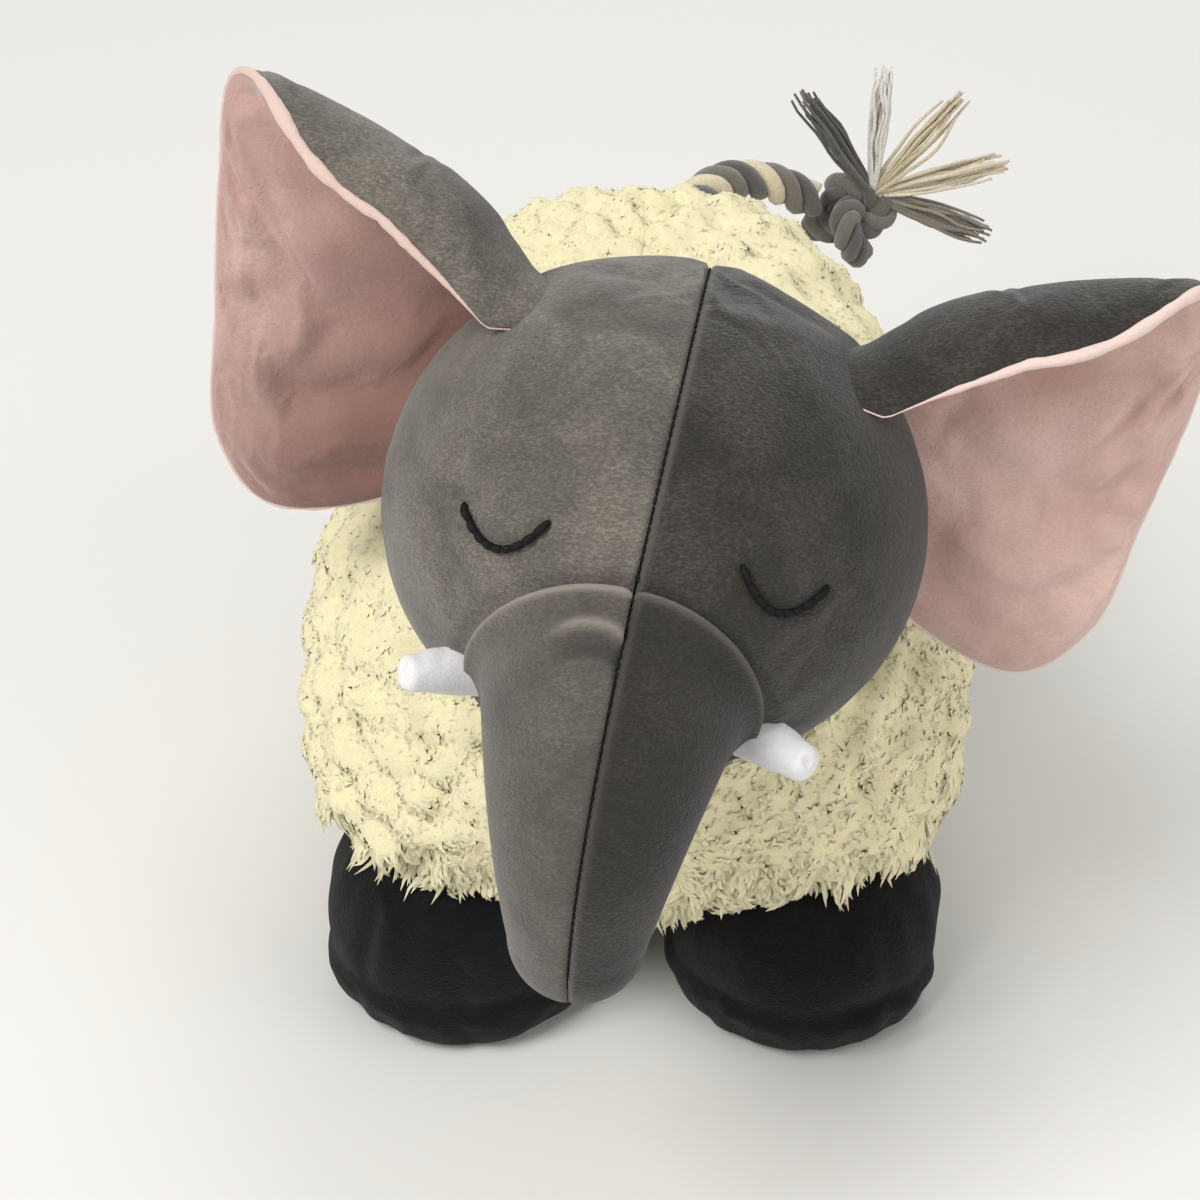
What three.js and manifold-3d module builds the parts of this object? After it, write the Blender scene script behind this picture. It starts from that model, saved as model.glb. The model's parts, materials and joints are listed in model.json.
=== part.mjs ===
// Plush elephant dog toy: a sherpa body on four stub legs, a short-pile head with a stuffed trunk,
// lined ears, felt tusks and sewn sleeping eyes, a squeaker in the stuffing and a knotted rope tail.
// Millimetres, +Z up. The toy faces -Y and its own left side is +X. The origin is on the floor under
// the middle of the toy without its tail. Each moving part is a group whose origin is its pivot.

import * as THREE from "three";
import { mergeVertices } from "three/addons/utils/BufferGeometryUtils.js";
import Module from "manifold-3d";

// Cloth and clearances
const FIT_GAP = 0.35; // between pieces that touch
const PLUSH = 2.4; // short-pile cloth of the head, trunk and legs
const SHERPA = 9; // fleece of the body with its curls

// Body
const BODY_LENGTH = 276;
const BODY_FRONT_WIDTH = 224;
const BODY_REAR_WIDTH = 188;
const BODY_FRONT_HEIGHT = 156;
const BODY_REAR_HEIGHT = 178;
const BELLY_HEIGHT = 24; // floor to belly
const BODY_END_POWER = 3.3; // how square the chest and rump are, 2 being an ellipse
const BODY_SECTION_POWER = 2.6; // how square the section is
const BODY_SAG = 0.17; // share by which the section widens towards the belly
const CLUMP_DEPTH = 5; // fleece between its clumps below their tops
const CLUMPS_BEGIN = 0.35; // share of the way out from the middle of chest and rump
const CLUMPS_FULL = 0.65;
const BELLY_PANEL_WIDTH = 44;
const BELLY_SEAM_HEIGHT = 64; // floor to the top of the belly panel at chest and rump

// Squeaker
const SQUEAKER_DIAMETER = 46;
const SQUEAKER_HEIGHT = 26;
const SQUEAKER_WALL = 1.2;
const SQUEAKER_NECK_DIAMETER = 15;
const SQUEAKER_NECK_HEIGHT = 7;
const SQUEAKER_LEVEL = 92; // floor to the underside of the bulb
const REED_BORE = 3;
const REED_FLANGE = 1.6;

// Legs
const LEG_DIAMETER = 84;
const LEG_PAIR_GAP = 24; // between the left and the right leg
const FRONT_LEG_SETBACK = 46; // hip behind the front of the chest
const REAR_LEG_SETBACK = 52; // hip ahead of the back of the rump
const HIP_HEIGHT = 30;
const LEG_SWING = 12; // degrees fore and aft
const LEG_OPENING = 30; // degrees from the top of the hip to the open end of the cover
const FOOT_DIAMETER = 87;
const FOOT_ROUNDING = 14;
const SOLE_DIAMETER = 62;
const SOLE_THICKNESS = 2.5;
const SOLE_DROP = 0.7; // sole stands below the rim of the cover

// Head
const HEAD_WIDTH = 144;
const HEAD_DEPTH = 138;
const CROWN_HEIGHT = 64; // head centre to crown
const JAW_DEPTH = 70; // head centre to jaw
const HEAD_PEAR = 0.08; // share by which the jaw is wider than the middle
const HEAD_LEVEL = 204; // floor to head centre
const HEAD_SETBACK = 11; // head centre behind the front of the chest
const HEAD_SHIFT = 6; // head centre left of the middle
const HEAD_TWIST = 12; // degrees that the head is turned at rest
const HEAD_NOD_UP = 15; // degrees
const HEAD_NOD_DOWN = 12;
const NECK_RISE = 35; // degrees that the twist axis rises towards the face
const NECK_DROP = 50; // degrees that the neck falls from the head to the body
const NECK_OPENING = 62; // across the opening in the head cover
const NECK_SPREAD = 34; // degrees from the middle of the neck wad to its edge
const NECK_WAD = 2; // least thickness of the neck wad

// Trunk
const TRUNK_ROOT_DIAMETER = 77;
const TRUNK_TIP_DIAMETER = 37;
const TRUNK_ROOT_FORWARD = 40; // head centre to the middle of the root
const TRUNK_ROOT_DROP = 17;
const TRUNK_REACH = 46; // root to the middle of the tip, forwards
const TRUNK_HANG = 64; // root to the middle of the tip, down
const TRUNK_SIDEWAYS = 5; // tip off the middle of the head, to the toy's left
const TRUNK_LIFT = 24; // degrees
const TRUNK_OPENING = 44; // across the opening at the back of the trunk cover

// Tusks
const TUSK_DIAMETER = 15;
const TUSK_TIP_DIAMETER = 12;
const TUSK_LENGTH = 17; // from the cheek
const TUSK_SIDE = 40; // middle of the head to the middle of the root
const TUSK_LEVEL = -33; // head centre to the middle of the root
const TUSK_OUTWARD = 55; // degrees that a tusk points to the side
const TUSK_DOWNWARD = -6; // degrees that a tusk points down

// Eyes
const EYE_SIDE = 35.5; // middle of the head to the middle of the eye
const EYE_LEVEL = 12; // head centre to the lowest stitch
const EYE_WIDTH = 22;
const EYE_SAG = 7.5; // ends above the lowest stitch
const EYE_SLANT = 3.5; // inner end above the middle of both ends
const EYE_THREAD = 2.4;

// Ears
const EAR_REACH = 93; // root to outer edge
const EAR_RISE = 80; // middle of the root to the upper edge, measured along the cloth
const EAR_DROP = 63; // middle of the root to the lower tip
const EAR_MIDDLE = 37; // root to the middle of the ear
const EAR_CLOTH = 1.8;
const EAR_FILL = 3; // wadding at its thickest
const EAR_CURL_RADIUS = 16; // roll of the upper edge
const EAR_CURL_WIDTH = 38; // cloth in the roll
const EAR_CURL_PEAK = 38; // root to the highest point of the roll's crease
const EAR_CURL_DIP = 8; // crease at the root below its highest point
const EAR_CURL_FALL = 0.14; // fall of the crease for each millimetre beyond its highest point
const EAR_DISH = 5; // hollow of the ear
const EAR_LEAN = 22; // degrees that the root leans in at the top
const EAR_SWEEP = 10; // degrees that the ear points back
const EAR_LEVEL = 6; // head centre to the middle of the root
const EAR_SETBACK = 16; // middle of the root behind the head centre
const EAR_SINK = 6; // middle of the root below the surface of the head
const EAR_FLAP = 25; // degrees each way

// Tail
const TAIL_DIAMETER = 15;
const TAIL_SIDE = 14;
const TAIL_LEVEL = 149;
const TAIL_KNOT_DIAMETER = 38;
const TAIL_KNOT_DENT = 4; // depth between the turns of the knot
const TAIL_STRANDS = 5;
const TAIL_STRAND_DIAMETER = 13;
const TAIL_TASSEL_LENGTH = 48;
const TAIL_FAN_MIDDLE = 52; // degrees that the middle strand rises
const TAIL_FAN_SPREAD = 145; // degrees between the outer strands

// Facets
const FLEECE_GRID = [24, 40]; // rows and columns of the body where it shows, with a clump at every other corner
const SHOWN = [12, 22]; // rows and columns of the head where it shows
const HIDDEN = [8, 14]; // rows and columns of the body and head under the cloth
const ROUND = 16; // sides of round pieces
const NECK_SOCKET_SIDES = 24;
const NOD_STEPS = 6; // places of the nodding head that hollow the neck wad
const TRUNK_SOCKET_SIDES = 20;
const TRUNK_BALL_ROWS = 4;
const TRUNK_TUBE_ROWS = 5;
const TRUNK_TIP_ROWS = 3;
const TRUNK_GRID = [TRUNK_BALL_ROWS + TRUNK_TUBE_ROWS + TRUNK_TIP_ROWS, 16];
const TUSK_TIP_ROWS = 3;
const TUSK_GRID = [TUSK_TIP_ROWS + 3, 12];
const EYE_STEPS = 12;
const EYE_SIDES = 8;
const EAR_RINGS = 4;
const EAR_SPOKES = 22;
const TAIL_STEPS = 12;
const TAIL_SIDES = 10;
const KNOT_GRID = [10, 16];
const STRAND_GRID = [7, 8];

const wasm = await Module();
wasm.setup();

const { clamp, degToRad, lerp, smoothstep } = THREE.MathUtils;
const SIDES = [["left", 1], ["right", -1]];
const X_AXIS = new THREE.Vector3(1, 0, 0);
const Y_AXIS = new THREE.Vector3(0, 1, 0);

// Materials

function cloth(colour, roughness = 0.95) {
  return new THREE.MeshStandardMaterial({ color: colour, roughness, metalness: 0 });
}

const SHERPA_CREAM = "#efe3b8";
const PLUSH_GREY = "#55504c";
const PLUSH_BLACK = "#1f1e1f";
const LINING_PINK = "#d3aca0";
const FELT_WHITE = "#e9e8e6";
const THREAD_BLACK = "#141416";
const FIBRE_WHITE = "#f4f3ef";
const MOULDED_WHITE = "#dfe3e6";
const ROPE_GREY = "#5c5854";

// Solids

// A geometry with one vertex at each corner, no empty triangles and its faces pointing out.
function outward(geometry) {
  const bare = geometry.clone();
  bare.deleteAttribute("normal");
  bare.deleteAttribute("uv");
  const merged = mergeVertices(bare, 1e-3);
  const corner = (i) => new THREE.Vector3().fromBufferAttribute(merged.attributes.position, i);
  const faces = [];
  let volume = 0;
  for (let i = 0; i < merged.index.count; i += 3) {
    const [a, b, c] = [0, 1, 2].map((k) => merged.index.getX(i + k));
    if (a === b || b === c || c === a) continue;
    faces.push(a, b, c);
    volume += corner(a).dot(corner(b).cross(corner(c)));
  }
  merged.setIndex(volume < 0 ? faces.reverse() : faces);
  merged.computeVertexNormals();
  return merged;
}

function solid(geometry) {
  const closed = outward(geometry);
  const vertProperties = new Float32Array(closed.attributes.position.array);
  const triVerts = new Uint32Array(closed.index.array);
  return new wasm.Manifold(new wasm.Mesh({ numProp: 3, vertProperties, triVerts }));
}

function shape(body) {
  const { vertProperties, triVerts } = body.getMesh();
  const geometry = new THREE.BufferGeometry();
  geometry.setAttribute("position", new THREE.Float32BufferAttribute(vertProperties, 3));
  geometry.setIndex([...triVerts]);
  return geometry;
}

function addPiece(group, name, geometry, material) {
  const mesh = new THREE.Mesh(outward(geometry), material);
  mesh.name = name;
  group.add(mesh);
}

// A closed surface from a function of a row and a column: rows run from pole to pole, columns run around.
// The quads are split alike on both sides of the middle row, so that layers with the same rows nest.
function closedSurface(pointAt, [rows, columns]) {
  const points = [pointAt(0, 0)];
  for (let row = 1; row < rows; row += 1) {
    for (let column = 0; column < columns; column += 1) points.push(pointAt(row, column));
  }
  points.push(pointAt(rows, 0));
  const at = (row, column) => 1 + (row - 1) * columns + (column % columns);
  const faces = [];
  for (let column = 0; column < columns; column += 1) {
    faces.push(0, at(1, column), at(1, column + 1));
    for (let row = 1; row < rows - 1; row += 1) {
      const [a, b] = [at(row, column), at(row + 1, column)];
      const [c, d] = [at(row + 1, column + 1), at(row, column + 1)];
      faces.push(...(2 * row < rows ? [a, b, c, a, c, d] : [a, b, d, b, c, d]));
    }
    faces.push(points.length - 1, at(rows - 1, column + 1), at(rows - 1, column));
  }
  const geometry = new THREE.BufferGeometry().setFromPoints(points);
  geometry.setIndex(faces);
  return geometry;
}

// A revolved solid about Z from a profile of [radius, height] pairs.
function revolved(profile, segments = ROUND) {
  const points = profile.map(([radius, height]) => new THREE.Vector2(radius, height));
  return new THREE.LatheGeometry(points, segments).rotateX(Math.PI / 2);
}

// An arc of [radius, height] pairs about a centre on or off the axis, by degrees down from straight up.
function arc(centre, radii, from, to, steps) {
  return Array.from({ length: steps + 1 }, (_, i) => {
    const angle = degToRad(lerp(from, to, i / steps));
    return [centre[0] + radii[0] * Math.sin(angle), centre[1] + radii[1] * Math.cos(angle)];
  });
}

// A ball whose flat facets all lie outside the given radius, for cutting sockets. It is turned by half a
// facet, so that the corners of a round piece inside it lie nearest to its facets.
function socketBall(radius, segments) {
  const rings = segments / 2;
  const grown = radius / (Math.cos(Math.PI / segments) * Math.cos(Math.PI / (2 * rings)));
  return new THREE.SphereGeometry(grown, segments, rings).rotateX(Math.PI / 2).rotateZ(Math.PI / segments);
}

function box(low, high) {
  const size = new THREE.Vector3().subVectors(high, low);
  const middle = new THREE.Vector3().addVectors(low, high).multiplyScalar(0.5);
  return new THREE.BoxGeometry(size.x, size.y, size.z).translate(middle.x, middle.y, middle.z);
}

// Where things are
const chestFront = -BODY_LENGTH / 2;
const rumpBack = BODY_LENGTH / 2;
const headCentre = new THREE.Vector3(HEAD_SHIFT, chestFront + HEAD_SETBACK, HEAD_LEVEL);
const twistAxis = new THREE.Vector3(0, -Math.cos(degToRad(NECK_RISE)), Math.sin(degToRad(NECK_RISE)));
const headTurn = new THREE.Quaternion().setFromAxisAngle(twistAxis, -degToRad(HEAD_TWIST));
const neckDirection = new THREE.Vector3(0, Math.cos(degToRad(NECK_DROP)), -Math.sin(degToRad(NECK_DROP)));
const neckTurn = new THREE.Quaternion().setFromUnitVectors(new THREE.Vector3(0, 0, 1), neckDirection);
const legRadius = LEG_DIAMETER / 2;
const legSide = LEG_PAIR_GAP / 2 + legRadius;
const LEGS = [
  ["front", chestFront + FRONT_LEG_SETBACK],
  ["rear", rumpBack - REAR_LEG_SETBACK],
].flatMap(([end, y]) =>
  SIDES.map(([name, side]) => [`${end}_${name}`, new THREE.Vector3(side * legSide, y, HIP_HEIGHT)]),
);

// Head surface: an ellipsoid with its own height above and below the centre, wider towards the jaw.

const headHeight = (z) => (z > 0 ? CROWN_HEIGHT : JAW_DEPTH);

function headPoint(row, column, inset, [rows, columns]) {
  const polar = (Math.PI * row) / rows;
  const turn = (2 * Math.PI * column) / columns;
  const pear = 1 - HEAD_PEAR * Math.cos(polar);
  return new THREE.Vector3(
    (HEAD_WIDTH / 2 - inset) * pear * Math.sin(polar) * Math.cos(turn),
    (HEAD_DEPTH / 2 - inset) * pear * Math.sin(polar) * Math.sin(turn),
    (headHeight(Math.cos(polar)) - inset) * Math.cos(polar),
  );
}

const headSurface = (inset, grid) =>
  closedSurface((row, column) => headPoint(row, column, inset, grid), grid);

// The share of the head's section at a height that a distance from the middle leaves for the other axis.
function headAcross(z, other, otherHalf, half) {
  const pear = 1 - (HEAD_PEAR * z) / headHeight(z);
  const left = 1 - (z / headHeight(z)) ** 2 - (other / (otherHalf * pear)) ** 2;
  return half * pear * Math.sqrt(left);
}

const cheekSide = (y, z) => headAcross(z, y, HEAD_DEPTH / 2, HEAD_WIDTH / 2);
const faceFront = (x, z) => -headAcross(z, x, HEAD_WIDTH / 2, HEAD_DEPTH / 2);

// The farthest that the head reaches from its centre.
const headCorners = headSurface(0, SHOWN).attributes.position;
const headReach = Math.max(
  ...Array.from({ length: headCorners.count }, (_, i) =>
    new THREE.Vector3().fromBufferAttribute(headCorners, i).length(),
  ),
);

// The head turns in a socket that leaves room for the neck wad behind it.
const neckOutside = headReach + NECK_WAD;
const neckSocketRadius = neckOutside + FIT_GAP;

// Body: side panels and belly panel of sherpa over two wads of fibre

// A direction's two parts on a squared circle: over their length by a power other than 2.
function squared(first, second, exponent) {
  const size = (Math.abs(first) ** exponent + Math.abs(second) ** exponent) ** (1 / exponent);
  return [first / size, second / size];
}

function bodyPoint(row, column, inset, [rows, columns]) {
  const polar = (Math.PI * row) / rows;
  const [along, end] = squared(-Math.cos(polar), Math.sin(polar), BODY_END_POWER);
  const rearward = (along + 1) / 2;
  const height = lerp(BODY_FRONT_HEIGHT, BODY_REAR_HEIGHT, rearward);
  const width = lerp(BODY_FRONT_WIDTH, BODY_REAR_WIDTH, rearward);
  const turn = (2 * Math.PI * (column + 0.5)) / columns;
  const [across, up] = squared(Math.cos(turn), Math.sin(turn), BODY_SECTION_POWER);
  return new THREE.Vector3(
    (width / 2 - inset) * end * across * (1 - BODY_SAG * up),
    (BODY_LENGTH / 2 - inset) * along,
    BELLY_HEIGHT + height / 2 + (height / 2 - inset) * end * up,
  );
}

const bodySolid = (inset) =>
  solid(closedSurface((row, column) => bodyPoint(row, column, inset, HIDDEN), HIDDEN));

// The fleece lies in clumps: it dips at every other corner of its grid. On the middle of chest and rump,
// where the columns meet, it is even.
function fleecePoint(row, column, grown) {
  const out = Math.sin((Math.PI * row) / FLEECE_GRID[0]);
  const dip = (row + column) % 2 ? CLUMP_DEPTH * smoothstep(out, CLUMPS_BEGIN, CLUMPS_FULL) : 0;
  return bodyPoint(row, column, dip - grown, FLEECE_GRID);
}

const fleeceSolid = (grown) =>
  solid(closedSurface((row, column) => fleecePoint(row, column, grown), FLEECE_GRID));

const far = 2 * Math.max(BODY_LENGTH, BODY_FRONT_WIDTH, BODY_REAR_WIDTH, BODY_FRONT_HEIGHT, BODY_REAR_HEIGHT);
const corner = (x, y, z) => new THREE.Vector3(x, y, z);

// Half a section of a leg, from the opening at the hip to the sole, at a depth below the surface of the cloth.
const footRim = SOLE_DIAMETER / 2 + FIT_GAP;
function legSleeve(inset) {
  const ankle = SOLE_DROP + FOOT_ROUNDING - HIP_HEIGHT;
  const foot = [FOOT_DIAMETER / 2 - footRim - inset, FOOT_ROUNDING - inset];
  return [
    ...arc([0, 0], [legRadius - inset, legRadius - inset], LEG_OPENING, 90 + LEG_SWING, 3),
    ...arc([footRim, ankle], foot, 90, 180, 3),
  ];
}

// The space that a leg needs as it swings about its hip.
const legSweep = [-LEG_SWING, LEG_SWING].reduce((sum, swing) => {
  const section = [[0, legRadius], ...legSleeve(-FIT_GAP), [0, -HIP_HEIGHT]];
  return sum.add(solid(revolved(section).rotateX(degToRad(swing))));
}, solid(socketBall(legRadius + FIT_GAP, ROUND)));

// The space that the head and the four legs need in the body.
const bodySockets = LEGS.reduce(
  (sum, [, hip]) => sum.add(legSweep.translate(hip.toArray())),
  solid(socketBall(neckSocketRadius, NECK_SOCKET_SIDES)).translate(headCentre.toArray()),
);

const bellyHalf = BELLY_PANEL_WIDTH / 2;
const bellySpace = (grown) => {
  const side = bellyHalf + grown;
  return solid(box(corner(-side, -far, -far), corner(side, far, BELLY_SEAM_HEIGHT + grown)));
};

const squeakerTop = SQUEAKER_HEIGHT + SQUEAKER_NECK_HEIGHT;
const squeakerPocket = solid(
  new THREE.CylinderGeometry(
    SQUEAKER_DIAMETER / 2 + FIT_GAP,
    SQUEAKER_DIAMETER / 2 + FIT_GAP,
    squeakerTop + REED_FLANGE + 2 * FIT_GAP,
    ROUND,
  )
    .rotateX(Math.PI / 2)
    .translate(0, 0, SQUEAKER_LEVEL + (squeakerTop + REED_FLANGE) / 2),
);

function makeBody() {
  const group = new THREE.Group();
  const cover = fleeceSolid(0).subtract(bodySolid(SHERPA)).subtract(bodySockets);
  const sides = cover.subtract(bellySpace(FIT_GAP));
  for (const [name, side] of SIDES) {
    const half = solid(box(corner(FIT_GAP / 2, -far, -far), corner(far, far, far)).scale(side, 1, 1));
    addPiece(group, `body_cover_${name}`, shape(sides.intersect(half)), cloth(SHERPA_CREAM));
  }
  addPiece(group, "belly_panel", shape(cover.intersect(bellySpace(0))), cloth(SHERPA_CREAM));

  const fibre = bodySolid(SHERPA + FIT_GAP).subtract(bodySockets).subtract(squeakerPocket);
  for (const [name, end] of [["front", -1], ["rear", 1]]) {
    const half = solid(box(corner(-far, FIT_GAP / 2, -far), corner(far, far, far)).scale(1, end, 1));
    addPiece(group, `body_stuffing_${name}`, shape(fibre.intersect(half)), cloth(FIBRE_WHITE));
  }
  return group;
}

// Squeaker: a blow-moulded bulb, open at its neck, with a reed insert pressed into it

function makeSqueaker() {
  const group = new THREE.Group();
  group.position.z = SQUEAKER_LEVEL;
  const radius = SQUEAKER_DIAMETER / 2;
  const neck = SQUEAKER_NECK_DIAMETER / 2;
  const half = SQUEAKER_HEIGHT / 2;
  const wall = SQUEAKER_WALL;
  const bulb = [
    [0, 0],
    ...arc([radius - half, half], [half, half], 180, 20, 4),
    [neck, SQUEAKER_HEIGHT],
    [neck, squeakerTop],
    [neck - wall, squeakerTop],
    [neck - wall, SQUEAKER_HEIGHT - wall],
    ...arc([radius - half, half], [half - wall, half - wall], 20, 180, 4),
    [0, wall],
  ];
  addPiece(group, "squeaker_bulb", revolved(bulb), cloth(MOULDED_WHITE, 0.4));

  const plug = neck - wall - FIT_GAP;
  const seat = squeakerTop + FIT_GAP;
  const reed = [
    [REED_BORE / 2, squeakerTop - SQUEAKER_NECK_HEIGHT],
    [plug, squeakerTop - SQUEAKER_NECK_HEIGHT],
    [plug, seat],
    [neck, seat],
    [neck, squeakerTop + REED_FLANGE],
    [REED_BORE / 2, squeakerTop + REED_FLANGE],
    [REED_BORE / 2, squeakerTop - SQUEAKER_NECK_HEIGHT],
  ];
  addPiece(group, "squeaker_reed", revolved(reed), cloth(MOULDED_WHITE, 0.4));
  return group;
}

// Leg: a stub sleeve of plush with a ball at the hip, closed by a round sole and stuffed

function makeLeg(name, hip) {
  const group = new THREE.Group();
  group.name = `leg_${name}`;
  group.position.copy(hip);
  const cover = [...legSleeve(0), ...legSleeve(PLUSH).reverse(), legSleeve(0)[0]];
  addPiece(group, `leg_cover_${name}`, revolved(cover), cloth(PLUSH_BLACK));

  const floor = -HIP_HEIGHT;
  const soleRadius = SOLE_DIAMETER / 2;
  const soleTop = floor + SOLE_THICKNESS;
  const sole = [[0, floor], [soleRadius, floor], [soleRadius, soleTop], [0, soleTop]];
  addPiece(group, `leg_sole_${name}`, revolved(sole), cloth(PLUSH_BLACK));

  const seat = soleTop + FIT_GAP;
  const depth = PLUSH + FIT_GAP;
  const fibre = [[0, legRadius - depth], ...legSleeve(depth), [soleRadius - FIT_GAP, seat], [0, seat]];
  addPiece(group, `leg_stuffing_${name}`, revolved(fibre), cloth(FIBRE_WHITE));
  return group;
}

// Neck wad: a cupped pad behind the head, hollowed by the head as it nods and round where the body holds it

function makeNeck() {
  const group = new THREE.Group();
  group.name = "neck";
  group.position.copy(headCentre);
  const sector = [[0, 0], ...arc([0, 0], [neckOutside, neckOutside], NECK_SPREAD, 0, 4)];
  let pad = solid(revolved(sector).applyQuaternion(neckTurn));
  for (let step = 0; step <= NOD_STEPS; step += 1) {
    const nod = degToRad(lerp(-HEAD_NOD_UP, HEAD_NOD_DOWN, step / NOD_STEPS));
    pad = pad.subtract(solid(headSurface(-FIT_GAP, SHOWN).rotateX(nod).applyQuaternion(headTurn)));
  }
  addPiece(group, "neck_stuffing", shape(pad), cloth(FIBRE_WHITE));
  return group;
}

// Trunk: a bent, tapering tube that starts in a ball at its root

const trunkRoot = new THREE.Vector3(0, -TRUNK_ROOT_FORWARD, -TRUNK_ROOT_DROP);
const trunkLine = new THREE.QuadraticBezierCurve3(
  new THREE.Vector3(),
  new THREE.Vector3(0, -TRUNK_REACH, -TRUNK_HANG / 3),
  new THREE.Vector3(TRUNK_SIDEWAYS, -TRUNK_REACH, -TRUNK_HANG),
);

function trunkPoint(row, column, inset) {
  const rootShare = Math.max(0, 1 - row / TRUNK_BALL_ROWS);
  const tipShare = Math.max(0, (row - TRUNK_BALL_ROWS - TRUNK_TUBE_ROWS) / TRUNK_TIP_ROWS);
  const along = clamp((row - TRUNK_BALL_ROWS) / TRUNK_TUBE_ROWS, 0, 1);
  const radius = lerp(TRUNK_ROOT_DIAMETER, TRUNK_TIP_DIAMETER, along) / 2 - inset;
  const forward = trunkLine.getTangent(along);
  const cap = (Math.PI / 2) * (tipShare - rootShare);
  const turn = (2 * Math.PI * (column + 0.5)) / TRUNK_GRID[1];
  const over = new THREE.Vector3().crossVectors(forward, X_AXIS).normalize();
  const across = new THREE.Vector3().crossVectors(over, forward).multiplyScalar(Math.cos(turn));
  const spoke = over.multiplyScalar(Math.sin(turn)).add(across);
  return trunkLine
    .getPoint(along)
    .addScaledVector(spoke, radius * Math.cos(cap))
    .addScaledVector(forward, radius * Math.sin(cap));
}

const trunkSurface = (inset) => closedSurface((row, column) => trunkPoint(row, column, inset), TRUNK_GRID);

// The space that the trunk sweeps as it lifts, in the head's frame.
const trunkSweep = [0, TRUNK_LIFT / 2, TRUNK_LIFT].reduce(
  (sum, lift) => sum.add(solid(trunkSurface(-FIT_GAP).rotateX(-degToRad(lift)))),
  solid(socketBall(TRUNK_ROOT_DIAMETER / 2 + FIT_GAP, TRUNK_SOCKET_SIDES)),
).translate(trunkRoot.toArray());

function makeTrunk() {
  const group = new THREE.Group();
  group.name = "trunk";
  group.position.copy(trunkRoot);
  const back = trunkLine.getTangent(0).negate();
  const opening = new THREE.CylinderGeometry(TRUNK_OPENING / 2, TRUNK_OPENING / 2, TRUNK_ROOT_DIAMETER, ROUND)
    .applyQuaternion(new THREE.Quaternion().setFromUnitVectors(Y_AXIS, back))
    .translate(...back.clone().multiplyScalar(TRUNK_ROOT_DIAMETER / 2 + PLUSH).toArray());
  const cover = solid(trunkSurface(0)).subtract(solid(trunkSurface(PLUSH))).subtract(solid(opening));
  for (const [name, side] of SIDES) {
    const half = solid(box(corner(FIT_GAP / 2, -far, -far), corner(far, far, far)).scale(side, 1, 1));
    addPiece(group, `trunk_cover_${name}`, shape(cover.intersect(half)), cloth(PLUSH_GREY));
  }
  addPiece(group, "trunk_stuffing", trunkSurface(PLUSH + FIT_GAP), cloth(FIBRE_WHITE));
  return group;
}

// Tusk: a short stuffed felt cone with a round end, cut to the cheek that it is sewn to

function makeTusk(side) {
  const [rows, columns] = TUSK_GRID;
  const stemRows = rows - TUSK_TIP_ROWS;
  const sunk = TUSK_DIAMETER;
  const tip = TUSK_TIP_DIAMETER / 2;
  const point = (row, column) => {
    const cap = (Math.PI / 2) * Math.max(0, (row - stemRows) / TUSK_TIP_ROWS);
    const along = Math.min(1, Math.max(0, row - 1) / (stemRows - 1));
    const radius = row === 0 ? 0 : (lerp(TUSK_DIAMETER, TUSK_TIP_DIAMETER, along) / 2) * Math.cos(cap);
    const turn = (2 * Math.PI * column) / columns;
    const reach = lerp(-sunk, TUSK_LENGTH - tip, along) + tip * Math.sin(cap);
    return new THREE.Vector3(radius * Math.cos(turn), -reach, radius * Math.sin(turn));
  };
  const turned = new THREE.Euler(degToRad(TUSK_DOWNWARD), 0, side * degToRad(TUSK_OUTWARD), "ZXY");
  const tusk = closedSurface(point, TUSK_GRID)
    .applyQuaternion(new THREE.Quaternion().setFromEuler(turned))
    .translate(side * TUSK_SIDE, faceFront(TUSK_SIDE, TUSK_LEVEL), TUSK_LEVEL);
  return solid(tusk).subtract(solid(headSurface(-FIT_GAP, SHOWN))).subtract(trunkSweep);
}

// Eye: one sagging arc of thread laid on the face

function makeEye(side) {
  const points = Array.from({ length: EYE_STEPS + 1 }, (_, i) => {
    const across = (2 * i) / EYE_STEPS - 1;
    const x = EYE_SIDE + (EYE_WIDTH / 2) * across;
    const z = EYE_LEVEL + EYE_SAG * across ** 2 - EYE_SLANT * across;
    const point = new THREE.Vector3(x, faceFront(x, z), z);
    const size = new THREE.Vector3(HEAD_WIDTH, HEAD_DEPTH, 2 * headHeight(z));
    const outwards = point.clone().divide(size).divide(size).normalize();
    point.addScaledVector(outwards, EYE_THREAD / 2 + FIT_GAP);
    return point.setX(side * point.x);
  });
  const section = new THREE.Shape().absarc(0, 0, EYE_THREAD / 2, 0, 2 * Math.PI);
  return new THREE.ExtrudeGeometry(section, {
    curveSegments: EYE_SIDES / 2,
    steps: EYE_STEPS,
    extrudePath: new THREE.CatmullRomCurve3(points),
  });
}

// Ear: a plush back and a velour lining over thin wadding, rolled forward along the upper edge

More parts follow.
